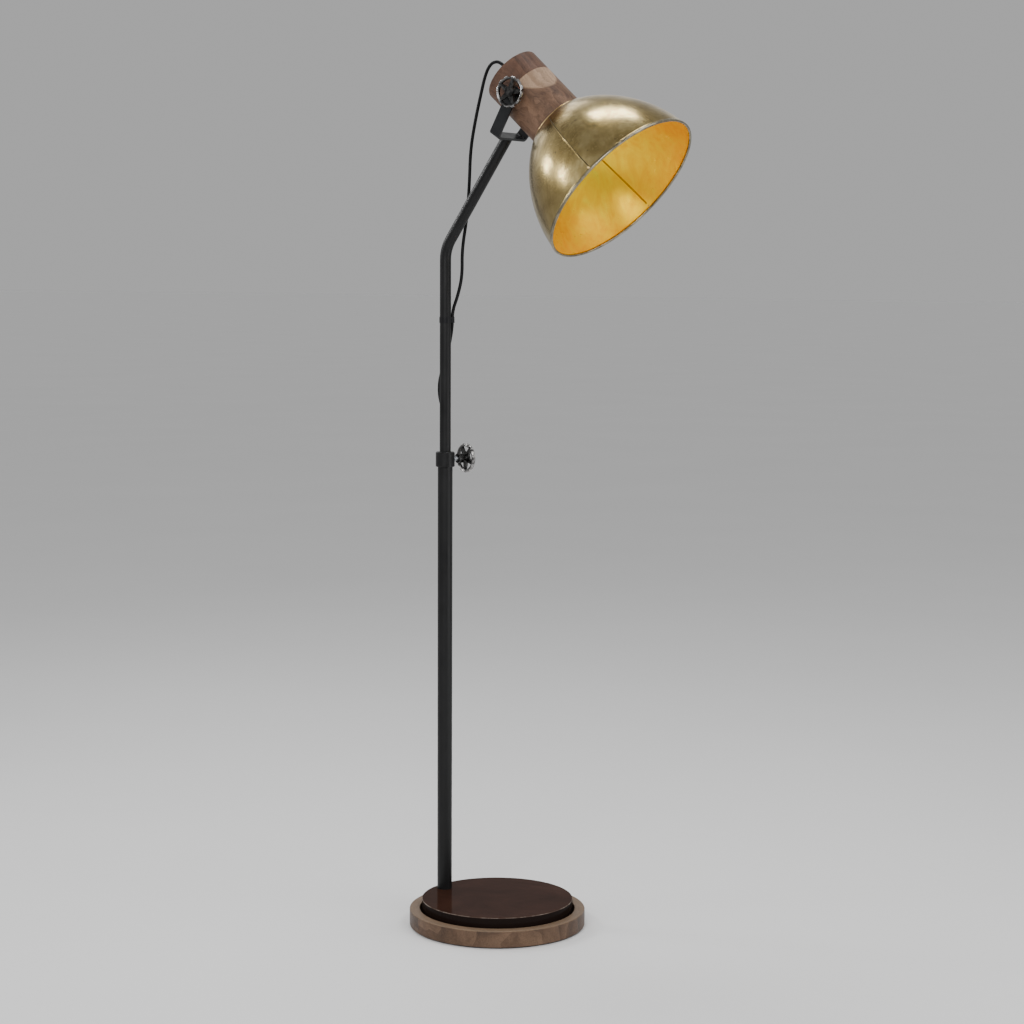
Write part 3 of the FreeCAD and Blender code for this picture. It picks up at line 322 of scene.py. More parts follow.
def enamel():
    f = Finish("brown_black_enamel", coat=0.09, coat_roughness=0.10, specular=0.0)
    where = f.place()
    cloud = f.noise(where, 9.0, 6.0, 0.6, 0.8)
    wipe = f.noise(f.place(turn=(0, 0, 0.5), scale=(1.0, 7.0, 1.0)), 16.0, 5.0, 0.6)
    speck = f.noise(where, 420.0, 2.0)
    tone = f.ramp(
        cloud,
        (0.30, (0.024, 0.0110, 0.0076)), (0.55, (0.033, 0.0150, 0.0104)), (0.8, (0.046, 0.0220, 0.0150)),
    )
    tone = f.mix(f.span(speck, 0.0, 0.5, 0.62, 0.78), tone, (0.014, 0.008, 0.006))
    tone = f.mix(f.span(wipe, 0.0, 0.25, 0.45, 0.7), tone, (0.020, 0.0095, 0.0070))
    height = f.add("SeparateXYZ", Vector=where).outputs["Z"]
    # Painted shade: below the top, the side is coloured darker.
    above_side_shade = f.span(height, 0.0, 1.0, COVER_SIDE_SHADE_END, COVER_EDGE_HIGHLIGHT_LOW[1])
    tone = f.mix(above_side_shade, (0.010, 0.006, 0.005), tone)
    # Painted highlight: a thin pale band along the top edge, broken into patches.
    over_low = f.span(height, 0.0, 1.0, *COVER_EDGE_HIGHLIGHT_LOW)
    under_high = f.span(height, 1.0, 0.0, *COVER_EDGE_HIGHLIGHT_HIGH)
    patches = f.span(f.noise(where, 30.0, 5.0, 0.7), 0.15, 0.9, 0.45, 0.62)
    edge_highlight = f.combine(f.combine(over_low, under_high, "MULTIPLY"), patches, "MULTIPLY")
    tone = f.mix(edge_highlight, tone, (0.30, 0.25, 0.21))
    rough = f.combine(f.span(wipe, 0.30, 0.42), f.span(cloud, 0.0, 0.08))
    return f.finish(tone, rough, f.bump(f.noise(where, 900.0, 2.0), 0.00005, 0.35))


dress(enamel(), "base_cover")

# %% [markdown]
# ## Mango wood
# Mango wood has wavy grain with dark streaks, pores, and pale sapwood beside
# brown heartwood.  A wave texture bent by noise draws the growth lines, a noise
# stretched along the grain draws fibres, and fine short pores are pressed in.
# One function serves the head's two blocks, the base and the dowels, each with its
# own direction, colours and swirl.

# %% Wood finishes


def wood(name, colours, place, swirl=0.05, rings=34.0, pale=None, worn=None, top=None):
    """Grain runs along local X after place.  pale adds a sapwood patch, worn adds
    chipped spots, and top rubs the upper face paler."""
    f = Finish(name, specular=0.30)
    own = f.place(**place)
    drift = f.add("TexNoise", Vector=own, Scale=11.0, Detail=3.0).outputs["Color"]

    def swayed(amount):
        """The piece's coordinates, moved by an amount of the drift."""
        inputs = {"0": drift, "1": (amount,) * 3, "2": own}
        return f.add("VectorMath", {"operation": "MULTIPLY_ADD"}, **inputs).outputs[0]

    bent = swayed(swirl)

    def drawn_out(share):
        """The bent coordinates, stretched along the grain."""
        return f.add("Mapping", Vector=bent, Scale=(share, 1.0, 1.0)).outputs["Vector"]

    lines = f.add(
        "TexWave", {"wave_type": "BANDS", "bands_direction": "Y", "wave_profile": "SAW"},
        Vector=drawn_out(0.22), Scale=rings, Distortion=7.0, Detail=3.0, Detail_Scale=1.4,
    ).outputs["Fac"]
    fibre = f.noise(drawn_out(0.05), 620.0, 4.0, 0.7)
    pores = f.noise(drawn_out(0.08), 1500.0, 2.0, 0.5)
    broad = f.noise(bent, 16.0, 5.0, 0.6, 1.2)
    figure = f.combine(f.span(lines, 0.0, 0.24, 0.0, 1.0), f.span(broad, 0.0, 0.46))
    figure = f.combine(figure, f.span(fibre, 0.0, 0.30))
    dark, middle, light = colours
    tone = f.ramp(figure, (0.16, dark), (0.46, middle), (0.86, light))
    if pale is not None:
        centre, size, pale_colours = pale
        inputs = {"0": swayed(0.03), "1": centre}
        away = f.add("VectorMath", {"operation": "DISTANCE"}, **inputs).outputs["Value"]
        share = f.span(away, 1.0, 0.0, size * 0.93, size * 1.03)
        tone = f.mix(share, tone, f.ramp(figure, (0.2, pale_colours[0]), (0.8, pale_colours[1])))
    if top is not None:
        level, top_colour = top
        height = f.add("SeparateXYZ", Vector=f.place()).outputs["Z"]
        near_top = f.span(height, 0.0, 1.0, level - 0.0018, level - 0.0002)
        rubbed = f.combine(near_top, f.span(fibre, 0.45, 0.95), "MULTIPLY")
        tone = f.mix(rubbed, tone, top_colour)
    holes = f.span(pores, 1.0, 0.0, 0.30, 0.40)
    tone = f.mix(f.combine(holes, 0.55, "MULTIPLY"), tone, tuple(0.35 * c for c in dark))
    if worn is not None:
        nick = f.noise(f.place(turn=(0.3, 0.5, 0.9), scale=(1.0, 2.4, 1.0)), 38.0, 6.0, 0.72, 1.0)
        tone = f.mix(f.span(nick, 0.0, 0.85, 0.70, 0.745), tone, worn)
    rough = f.combine(f.span(broad, 0.44, 0.58), f.combine(holes, 0.2, "MULTIPLY"))
    relief = f.bump(fibre, 0.00016, 0.55)
    relief = f.bump(holes, -0.00025, 0.6, relief)
    return f.finish(tone, rough, relief)


ALONG_X = Euler((0.0, math.pi / 2, 0.0)).to_matrix()
GRAIN_ON_AXIS = {
    "turn": tuple((ALONG_X @ HEAD_TURN).to_euler()),
    "shift": tuple(ALONG_X @ Vector(TO_HEAD["shift"])),
}


def in_grain(across, sideways, along):
    """A head place, said in the turned coordinates of the head's wood."""
    return tuple(ALONG_X @ Vector((across, sideways, along)))


dress(
    wood(
        "dark_mango",
        ((0.026, 0.0115, 0.0062), (0.072, 0.032, 0.0175), (0.125, 0.064, 0.038)),
        GRAIN_ON_AXIS, swirl=0.035, rings=26.0,
    ),
    "wood_back",
)
dress(
    wood(
        "figured_mango",
        ((0.036, 0.017, 0.0092), (0.105, 0.055, 0.031), (0.180, 0.103, 0.062)),
        GRAIN_ON_AXIS, swirl=0.09, rings=22.0,
        pale=(in_grain(-0.050, -0.006, 0.013), 0.037, ((0.190, 0.118, 0.072), (0.385, 0.262, 0.172))),
    ),
    "wood_front",
)
dress(
    wood(
        "base_mango",
        ((0.026, 0.0145, 0.0085), (0.082, 0.045, 0.0255), (0.150, 0.090, 0.054)),
        {"turn": (0.0, 0.0, 0.35)}, swirl=0.06, rings=8.0,
        worn=(0.46, 0.37, 0.28), top=(0.030, (0.190, 0.128, 0.080)),
    ),
    "wood_base",
)
dress(
    wood(
        "birch_dowel", ((0.30, 0.19, 0.10), (0.42, 0.29, 0.17), (0.52, 0.39, 0.25)),
        GRAIN_ON_AXIS, swirl=0.01, rings=60.0,
    ),
    "block_dowels",
)

# %% [markdown]
# ## Brass and cast metal
# The shade's outside is brass aged with acid and brushed back, so it is olive
# brown with lighter rubbed streaks and small dark spots.  The inside is lacquered
# bright gold, with smears where the lacquer ran.  The hand wheels are a dark
# pewter whose rims carry a painted highlight, a brighter colour where light would
# catch them.  Edge wear is often made from the angle between faces; here the
# painted highlight is placed by the distance from the wheel's own axis.

# %% Metal finishes
WHEEL_RIM_HIGHLIGHT = (0.0210, 0.0240)
CLAMP_TURN = math.radians(68.0)
CLAMP_AXIS = (math.cos(CLAMP_TURN), math.sin(CLAMP_TURN), 0.0)
CLAMP_LEVEL = 0.7955


def aged_brass():
    f = Finish("aged_brass", metallic=1.0)
    where = f.place(**TO_HEAD)
    cloud = f.noise(where, 17.0, 7.0, 0.62, 1.4)
    streak = f.noise(f.place(scale=(1.0, 1.0, 0.12), **TO_HEAD), 130.0, 4.0, 0.6)
    spots = f.noise(where, 95.0, 3.0, 0.5)
    fine = f.noise(where, 260.0, 5.0, 0.7)
    tone = f.ramp(
        f.combine(f.span(cloud, 0.0, 0.75), f.span(streak, 0.0, 0.25)),
        (0.10, (0.240, 0.172, 0.062)), (0.5, (0.385, 0.290, 0.118)), (0.90, (0.540, 0.430, 0.205)),
    )
    tone = f.mix(f.span(spots, 0.0, 0.75, 0.66, 0.74), tone, (0.085, 0.060, 0.030))
    rough = f.combine(f.span(cloud, 0.24, 0.15), f.span(fine, 0.0, 0.07))
    relief = f.bump(streak, 0.00005, 0.35)
    relief = f.bump(cloud, 0.0006, 0.25, relief)
    return f.finish(tone, rough, relief)


def gold_lining():
    f = Finish("gold_lining", metallic=0.80, specular=0.0)
    where = f.place(**TO_HEAD)
    smear = f.noise(f.place(scale=(1.0, 1.0, 0.45), **TO_HEAD), 30.0, 7.0, 0.65, 2.2)
    cloud = f.noise(where, 13.0, 5.0, 0.6, 1.0)
    fine = f.noise(where, 150.0, 5.0, 0.72, 0.6)
    tone = f.ramp(
        f.combine(f.span(smear, 0.0, 0.55), f.span(cloud, 0.0, 0.45)),
        (0.1, (0.90, 0.47, 0.004)), (0.55, (1.0, 0.66, 0.007)), (0.9, (1.0, 0.78, 0.022)),
    )
    rough = f.combine(f.span(smear, 0.34, 0.22), f.span(fine, 0.0, 0.12))
    relief = f.bump(smear, 0.0007, 0.35)
    return f.finish(tone, rough, f.bump(fine, 0.00015, 0.4, relief))


def plain_metal(name, dark, light, low, high, grain=240.0):
    f = Finish(name, metallic=1.0)
    where = f.place()
    cloud = f.noise(where, grain * 0.25, 5.0, 0.6)
    fine = f.noise(where, grain * 3.0, 3.0)
    tone = f.ramp(cloud, (0.3, dark), (0.7, light))
    return f.finish(tone, f.span(cloud, low, high), f.bump(fine, 0.00004, 0.4))


def pewter(name, centre, axis):
    """Dark cast metal whose rim, far from the wheel's axis, has a painted highlight."""
    f = Finish(name, metallic=1.0)
    where = f.place()
    cloud = f.noise(where, 150.0, 5.0, 0.6)
    fine = f.noise(where, 900.0, 3.0)
    from_centre = {"0": where, "1": tuple(centre)}
    arm = f.add("VectorMath", {"operation": "SUBTRACT"}, **from_centre).outputs[0]
    across = f.add("VectorMath", {"operation": "CROSS_PRODUCT"}, **{"0": arm, "1": axis}).outputs[0]
    out = f.add("VectorMath", {"operation": "LENGTH"}, **{"0": across}).outputs["Value"]
    dark = f.ramp(cloud, (0.3, (0.020, 0.020, 0.021)), (0.7, (0.085, 0.083, 0.080)))
    # Painted highlight: the bright colour that the rim takes.
    bright = f.ramp(cloud, (0.3, (0.070, 0.070, 0.072)), (0.7, (0.42, 0.41, 0.40)))
    tone = f.mix(f.span(out, 0.0, 1.0, *WHEEL_RIM_HIGHLIGHT), dark, bright)
    return f.finish(tone, f.span(cloud, 0.18, 0.36), f.bump(fine, 0.00005, 0.5))


OLD_GOLD = plain_metal("old_gold", (0.30, 0.130, 0.006), (0.55, 0.270, 0.012), 0.4, 0.5)
# A dark strip beside each outer seam's step: painted shadow.
SEAM_SHADOW_PAINT = plain_metal("painted_seam_shadow", (0.022, 0.016, 0.007), (0.070, 0.050, 0.022), 0.45, 0.65)
RUBBED_RIM = plain_metal("rubbed_rim", (0.13, 0.115, 0.080), (0.34, 0.30, 0.21), 0.18, 0.32)
AGED_BRASS = aged_brass()
GOLD_LINING = gold_lining()
PLAIN_BRASS = plain_metal("turned_brass", (0.46, 0.31, 0.12), (0.68, 0.50, 0.24), 0.22, 0.38)
STEEL = plain_metal("plated_steel", (0.16, 0.17, 0.18), (0.34, 0.35, 0.37), 0.24, 0.40)
IRON = plain_metal("cast_iron", (0.035, 0.035, 0.037), (0.09, 0.09, 0.092), 0.55, 0.8, 180.0)
dress(AGED_BRASS, "shade_seam")
dress(
    PLAIN_BRASS, "pivot_inserts", "shade_screws", "holder_shell", "holder_contact",
    "nipple", "nipple_nut", "bulb_cap", "plug_pins", "pressure_pad",
)
dress(STEEL, "near_stud", "far_stud", "collar_stud", "rim_wire", "base_screws", "pole_bolt", "pole_washer")
dress(pewter("head_wheel_pewter", PIVOT, (0.0, 1.0, 0.0)), "near_wheel", "far_wheel")
dress(pewter("collar_wheel_pewter", POLE + (0.0, 0.0, CLAMP_LEVEL), CLAMP_AXIS), "collar_wheel")
dress(IRON, "ballast")

# %% [markdown]
# ## Plastics, glass, ceramic and felt
# Small parts still get a true surface: moulded black plastic has a fine spark
# texture, nylon is milky, the bulb is frosted, and the felt under the base is a
# mat of short fibres.

# %% Small finishes


def moulded(name, colour, low, high, grain=900.0, depth=0.00004, coat=0.0, specular=0.5):
    f = Finish(name, coat=coat, specular=specular)
    where = f.place()
    fine = f.noise(where, grain, 3.0)
    cloud = f.noise(where, 40.0, 4.0)
    tone = f.ramp(cloud, (0.3, colour), (0.8, tuple(1.35 * c + 0.003 for c in colour)))
    return f.finish(tone, f.span(cloud, low, high), f.bump(fine, depth, 0.5))


def felt():
    f = Finish("pressed_felt")
    f.shader.inputs["Sheen Weight"].default_value = 0.4
    mat = f.noise(f.place(turn=(0.4, 0.2, 0.8), scale=(1.0, 3.0, 1.0)), 700.0, 6.0, 0.75, 1.5)
    tone = f.ramp(mat, (0.35, (0.018, 0.018, 0.020)), (0.7, (0.060, 0.060, 0.064)))
    return f.finish(tone, 0.95, f.bump(f.noise(f.place(), 1300.0, 4.0), 0.0003, 0.8))


def frosted_glass():
    f = Finish("frosted_glass", ior=1.46)
    f.shader.inputs["Transmission Weight"].default_value = 0.35
    cloud = f.noise(f.place(), 60.0, 3.0)
    tone = f.ramp(cloud, (0.3, (0.86, 0.85, 0.81)), (0.7, (0.93, 0.92, 0.89)))
    return f.finish(tone, f.span(cloud, 0.22, 0.30))


MOULDED_BLACK = moulded("moulded_black", (0.005, 0.005, 0.006), 0.32, 0.46, specular=0.2)
GLOSSY_BLACK = moulded("glossy_black", (0.007, 0.007, 0.008), 0.16, 0.28, 500.0, 0.00003, 0.1, 0.3)
dress(MOULDED_BLACK, "cable_clip", "cord_gland")
dress(GLOSSY_BLACK, "switch_base", "switch_cover", "switch_rocker", "plug_body")
dress(moulded("natural_nylon", (0.62, 0.60, 0.55), 0.35, 0.5), "guide_bush", "mast_glide")
dress(moulded("red_fibre", (0.22, 0.055, 0.030), 0.55, 0.7, 500.0, 0.0001), "friction_washers")
dress(moulded("white_ceramic", (0.70, 0.69, 0.65), 0.08, 0.16, 60.0, 0.00005, 0.4), "holder_body")
dress(moulded("brown_and_blue_cores", (0.12, 0.055, 0.025), 0.35, 0.45), "core_wires")
dress(frosted_glass(), "bulb_glass")
dress(felt(), "floor_pad")

# %% [markdown]
# ## The spun shade
# A real shade is spun from two sheets over a wooden form, then soldered, so it
# is a surface of revolution that is very slightly uneven.  It could be a lathe
# modifier, but a profile carried round the axis as one numpy grid lets each
# point move in or out a little, and lets the lining have its own finish.

# %% A profile carried round the head's axis


def mesh_from_grid(name, points, closed_rows, closed_columns, materials, column_slot=None):
    """Points is rows by columns by 3.  Each cell of the grid is one four-sided
    face, and a closed direction joins its last line to its first."""
    rows, columns = points.shape[:2]
    i = np.arange(rows if closed_rows else rows - 1)
    j = np.arange(columns if closed_columns else columns - 1)
    i, j = np.meshgrid(i, j, indexing="ij")
    i_next, j_next = (i + 1) % rows, (j + 1) % columns
    here, beyond = i * columns, i_next * columns
    faces = np.stack([here + j, beyond + j, beyond + j_next, here + j_next], -1)
    mesh = bpy.data.meshes.new(name)
    mesh.from_pydata(points.reshape(-1, 3).tolist(), [], faces.reshape(-1, 4).tolist())
    for material in materials:
        mesh.materials.append(material)
    if column_slot is not None:
        slots = np.broadcast_to(column_slot[j], j.shape).astype(np.int32).ravel()
        mesh.polygons.foreach_set("material_index", slots)
    mesh.polygons.foreach_set("use_smooth", np.ones(len(mesh.polygons), bool))
    piece = bpy.data.objects.new(name, mesh)
    bpy.context.scene.collection.objects.link(piece)
    mesh.update()
    print(name, len(mesh.vertices), "vertices,", len(mesh.polygons), "faces")
    return piece


def arc(centre, radius, first, last, count):
    """Points round a centre, from one angle in degrees to another."""
    angle = np.radians(np.linspace(first, last, count))
    return np.stack([centre[0] + radius * np.cos(angle), centre[1] + radius * np.sin(angle)], -1)


def eased(corners, size, count=6):
    """An open line of corners whose inner corners are rounded: each becomes a
    short curve (1-t)^2 A + 2t(1-t) C + t^2 B between points near the corner C."""
    corners = np.array(corners, float)
    before, middle, after = corners[:-2], corners[1:-1], corners[2:]
    back, on = before - middle, after - middle
    reach_back = np.minimum(size, 0.45 * np.linalg.norm(back, axis=1))[:, None]
    reach_on = np.minimum(size, 0.45 * np.linalg.norm(on, axis=1))[:, None]
    a = middle + back / np.linalg.norm(back, axis=1)[:, None] * reach_back
    b = middle + on / np.linalg.norm(on, axis=1)[:, None] * reach_on
    t = np.linspace(0, 1, count)[None, :, None]
    curve = (1 - t) ** 2 * a[:, None] + 2 * t * (1 - t) * middle[:, None] + t**2 * b[:, None]
    return np.concatenate([corners[:1], curve.reshape(-1, 2), corners[-1:]])


# %% Profile of the shade: radius from the axis, and distance along it
NECK_FACE = 0.0737
NECK_RADIUS = 0.052
NECK_HOLE = 0.024
LIP = 0.0024
STEP = 0.004
ROLL = 0.0006
DOME_START = 0.0785
DOME_RADIUS = 0.226
RIM_LEVEL = 0.232
RIM_RADIUS = 0.1442
BEAD_RADIUS = 0.0022
WALL = 0.0009
BEAD_JOIN = 0.0017
DOME_END = np.array([RIM_RADIUS + WALL, RIM_LEVEL - BEAD_JOIN])
dome_first = np.array([NECK_RADIUS + 2 * STEP, DOME_START])
chord = DOME_END - dome_first
half_chord = np.linalg.norm(chord) / 2
inward = np.array([-chord[1], chord[0]]) / np.linalg.norm(chord)
dome_centre = (DOME_END + dome_first) / 2 + inward * math.sqrt(DOME_RADIUS**2 - half_chord**2)


def dome_line(radius, count):
    """The dome's arc at a radius, from the neck to the rim."""
    ends = [np.degrees(np.arctan2(*(p - dome_centre)[::-1])) for p in (dome_first, DOME_END)]
    return arc(dome_centre, radius, ends[0], ends[1], count)


outer_dome = dome_line(DOME_RADIUS, 72)
inner_dome = dome_line(DOME_RADIUS - WALL, 72)
neck_outside = eased(
    [
        (NECK_HOLE, NECK_FACE),
        (NECK_RADIUS + ROLL, NECK_FACE),
        (NECK_RADIUS + ROLL, NECK_FACE + LIP),
        (NECK_RADIUS + 2 * ROLL, NECK_FACE + LIP + 0.0004),
        (NECK_RADIUS + STEP + ROLL, NECK_FACE + LIP),
        (NECK_RADIUS + STEP + ROLL, DOME_START - 0.0002),
        tuple(outer_dome[0] - (0.0004, 0.0)),
        tuple(outer_dome[2]),
    ],
    0.0009,
)
neck_inside = eased(
    [
        tuple(inner_dome[2]),
        tuple(inner_dome[0]),
        (NECK_RADIUS + STEP - WALL, DOME_START + WALL),
        (NECK_RADIUS + STEP - WALL, NECK_FACE + LIP + WALL),
        (NECK_RADIUS - WALL, NECK_FACE + LIP + WALL),
        (NECK_RADIUS - WALL, NECK_FACE + WALL),
        (NECK_HOLE, NECK_FACE + WALL),
    ],
    0.0007,
)
bead = arc((RIM_RADIUS, RIM_LEVEL), BEAD_RADIUS, -58.0, 256.0, 26)
outside = np.concatenate([neck_outside, outer_dome[3:], bead])
lining = np.concatenate([inner_dome[:2:-1], neck_inside])
profile = np.concatenate([outside, lining])
print("shade profile of", len(profile), "points, mouth radius", round(profile[:, 0].max(), 4))

# %% The shade itself


def unevenness(turn_angle, along):
    """A few slow waves round and along the dome: sums of a sine in each."""
    waves = ((3, 40.0, 0.7, 0.4), (5, 65.0, 2.1, 0.3), (8, 95.0, 4.0, 0.2), (13, 30.0, 5.2, 0.1))
    return sum(
        share * np.sin(count * turn_angle + start) * np.sin(rate * along + 2 * start)
        for count, rate, start, share in waves
    )


SHADE_TURNS = 240
WOBBLE = 0.00022
turn_angle = np.linspace(0, 2 * np.pi, SHADE_TURNS, endpoint=False)[:, None]
radius, along = profile[None, :, 0], profile[None, :, 1]
past_neck = np.clip((along - DOME_START) / 0.02, 0, 1)
before_rim = np.clip((RIM_LEVEL - 0.004 - along) / 0.012, 0, 1)
wobbled = radius + WOBBLE * past_neck * before_rim * unevenness(turn_angle, along)
shade_points = head_place(
    wobbled * np.cos(turn_angle), wobbled * np.sin(turn_angle), np.broadcast_to(along, wobbled.shape)
)

# %% Finishes along the shade's profile
# The lining begins four columns before the bead's end, where the bead faces inwards,
# and the neck's bright finish stops where its last step meets the dome.
SHADE_FINISHES = [AGED_BRASS, GOLD_LINING, PLAIN_BRASS, RUBBED_RIM]
OUTER, INNER, NECK, RIM = range(len(SHADE_FINISHES))
lining_first = len(outside) - 4
neck_last = len(neck_outside) - 9
slot_of_column = np.full(len(profile), OUTER)
slot_of_column[lining_first:-1] = INNER
slot_of_column[2:neck_last] = NECK
slot_of_column[len(outside) - len(bead) : lining_first] = RIM
spun_shade = mesh_from_grid("spun_shade", shade_points, True, True, SHADE_FINISHES, slot_of_column)
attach(spun_shade, "head")
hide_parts("shade")

# %% [markdown]
# ## Solder and seams
# Each seam is a lap: outside, a low ridge with a dark strip of painted shadow
# along its step; inside, a thin ridge.  Where a seam meets the rolled rim there is
# a drop of solder.  A drop is a flattened ball, and a ridge is the dome's own line
# carried across a narrow arc and lifted in the middle.

# %% Solder drops and laps
SEAMS = np.radians([-103.8, 76.2])
DROP_TURNS = 24
DROP_RINGS = 13
DROP_DEPTH = 0.0011
DROP_WIDTH = 0.0021
DROP_LENGTH = 0.0024
DROP_RADIUS = RIM_RADIUS + 0.0004
DROP_LEVEL = RIM_LEVEL - 0.0046


def close_ends(piece, rings):
    """Put one many-sided face over each open ring of vertices."""
    mesh = piece.data
    verts = [tuple(v.co) for v in mesh.vertices]
    faces = [tuple(p.vertices) for p in mesh.polygons] + [rings[0], rings[1][::-1]]
    materials = list(mesh.materials)
    mesh.clear_geometry()
    mesh.from_pydata(verts, [], faces)
    mesh.materials.clear()
    for material in materials:
        mesh.materials.append(material)
    mesh.polygons.foreach_set("use_smooth", np.ones(len(mesh.polygons), bool))
    mesh.update()


def solder_drop(name, seam):
    """A ball of three radii: position = centre + a cos u cos v, b sin u cos v, c sin v."""
    u = np.linspace(0, 2 * np.pi, DROP_TURNS, endpoint=False)[:, None]
    v = np.linspace(-np.pi / 2 + 0.02, np.pi / 2 - 0.02, DROP_RINGS)[None, :]
    depth = DROP_DEPTH * np.cos(u) * np.cos(v)
    width = DROP_WIDTH * np.sin(u) * np.cos(v)
    length = DROP_LENGTH * np.sin(v)
    reach = DROP_RADIUS + depth
    a = reach * np.cos(seam) - width * np.sin(seam)
    s = reach * np.sin(seam) + width * np.cos(seam)
    drop = mesh_from_grid(name, head_place(a, s, DROP_LEVEL + length), True, False, [PLAIN_BRASS])
    close_ends(drop, [[row * DROP_RINGS + end for row in range(DROP_TURNS)] for end in (0, DROP_RINGS - 1)])
    return drop


def lap(name, line, seam, across, lift, material):
    """A strip along the dome's line: across and lift place each strand beside it."""
    strand, level = line[None, :, 0], line[None, :, 1]
    radius = strand + np.array(lift)[:, None]
    angle = seam + across[:, None] / strand
    points = head_place(radius * np.cos(angle), radius * np.sin(angle), np.broadcast_to(level, radius.shape))
    return mesh_from_grid(name, points, True, False, [material])



# %% Laps along the two seams
RIDGE = (-0.0006, 0.00062, 0.00082, 0.00082, 0.00074, 0.00064, -0.0006)
SHADOW_STRIP = (-0.0006, 0.00030, 0.00042, 0.00030, -0.0006)
ridge_across = np.linspace(-0.0012, 0.0012, len(RIDGE))
shadow_strip_across = np.linspace(-0.0026, -0.0008, len(SHADOW_STRIP))
# The inner lap rises towards the axis by h (1 - share^2), highest in its middle.
share = np.linspace(-1, 1, 9)
inner_across = 0.0017 * share
inner_rise = 0.0006 - 0.00150 * (1 - share**2)
for number, seam in enumerate(SEAMS, 1):
    for piece in (
        solder_drop(f"solder_drop_{number}", seam),
        lap(f"inner_lap_{number}", inner_dome[3:-3], seam, inner_across, inner_rise, OLD_GOLD),
        lap(f"outer_lap_{number}", outer_dome[3:-1], seam, ridge_across, RIDGE, AGED_BRASS),
        # Painted shadow: a dark strip along the step of each outer lap.
        lap(f"seam_shadow_strip_{number}", outer_dome[3:-1], seam, shadow_strip_across, SHADOW_STRIP, SEAM_SHADOW_PAINT),
    ):
        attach(piece, "head")

# %% [markdown]
# ## The cord
# One black flexible cord runs from the relief behind the wood, hangs in a loop
# to the clip, winds a little down the pole, goes over the base's rear edge to a
# switch on the floor, and ends in a coil and a plug behind the base.  It is made
# as five smooth lines, because the head, the sliding mast and the turning guide
# each carry part of the real cord; here only the two lines on the floor are
# attached, to the base.  Each line is a spline whose control points are the places
# where it is held or bends.

# %% Cord helpers and sheath
CORD_DIAMETER = 0.0055


def cord_sheath():
    f = Finish("cord_sheath", specular=0.12)
    where = f.place()
    dust = f.noise(where, 55.0, 5.0, 0.65)
    skin = f.noise(where, 1600.0, 2.0)
    tone = f.ramp(dust, (0.35, (0.0035, 0.0035, 0.0038)), (0.8, (0.0085, 0.0085, 0.0090)))
    return f.finish(tone, f.span(dust, 0.34, 0.5), f.bump(skin, 0.00005, 0.5))


CORD_SHEATH = cord_sheath()


def cord_line(name, points, thick):
    """A spline of order 3 that starts and ends on its end points."""
    curve = bpy.data.curves.new(name, "CURVE")
    curve.dimensions = "3D"
    curve.resolution_u = 10
    curve.bevel_depth = CORD_DIAMETER / 2 if thick else 0.0
    curve.bevel_resolution = 5
    curve.use_fill_caps = thick
    spline = curve.splines.new("NURBS")
    spline.points.add(len(points) - 1)
    weighted = np.concatenate([np.array(points, float), np.ones((len(points), 1))], axis=1)
    spline.points.foreach_set("co", weighted.ravel())
    spline.order_u = 3
    spline.use_endpoint_u = True
    line = bpy.data.objects.new(name, curve)
    bpy.context.scene.collection.objects.link(line)
    return line


def cord_tube(name, points):
    """The spline as a round mesh tube, and the points along its middle."""
    thin, thick = cord_line(name + "_line", points, False), cord_line(name + "_tube", points, True)
    bpy.context.view_layer.update()
    graph = bpy.context.evaluated_depsgraph_get()
    middle = bpy.data.meshes.new_from_object(thin.evaluated_get(graph))
    body = bpy.data.meshes.new_from_object(thick.evaluated_get(graph))
    path = np.array([v.co for v in middle.vertices])
    for spare in (thin, thick):
        bpy.data.objects.remove(spare)
    bpy.data.meshes.remove(middle)
    body.name = name
    body.materials.clear()
    body.materials.append(CORD_SHEATH)
    body.polygons.foreach_set("use_smooth", np.ones(len(body.polygons), bool))
    tube = bpy.data.objects.new(name, body)
    bpy.context.scene.collection.objects.link(tube)
    length = np.linalg.norm(np.diff(path, axis=0), axis=1).sum()
    print(name, "is", round(float(length), 3), "m long")
    return tube, path, float(length)


# %% Places along the cord
REAR_TURN = math.radians(32.0)
REAR_SIDE = np.array([math.cos(REAR_TURN), math.sin(REAR_TURN), 0.0])
REAR_WAY = np.array([-math.sin(REAR_TURN), math.cos(REAR_TURN), 0.0])
UP = np.array([0.0, 0.0, 1.0])
CLIP_TURN = math.radians(55.0)
CLIP_REACH = 0.012575


def rear(side, back, up):
    """A place behind the base: to one side, rearwards and up, in millimetres."""
    return (REAR_SIDE * side + REAR_WAY * back + UP * up) / 1000.0


def by_pole(x, y, z):
    """A place beside the pole's axis, in millimetres."""
    return POLE + np.array([x, y, z]) / 1000.0


def by_clip(z):
    """A place on the clip's own line, at a level in millimetres."""
    return by_pole(1000 * CLIP_REACH * math.cos(CLIP_TURN), 1000 * CLIP_REACH * math.sin(CLIP_TURN), z)


def spot(x, y, z):
    """A place in the lamp's own frame, in millimetres."""
    return np.array([x, y, z]) / 1000.0


RELIEF_LEVEL = -0.0695
RELIEF_TIP = head_place(0, 0, RELIEF_LEVEL)

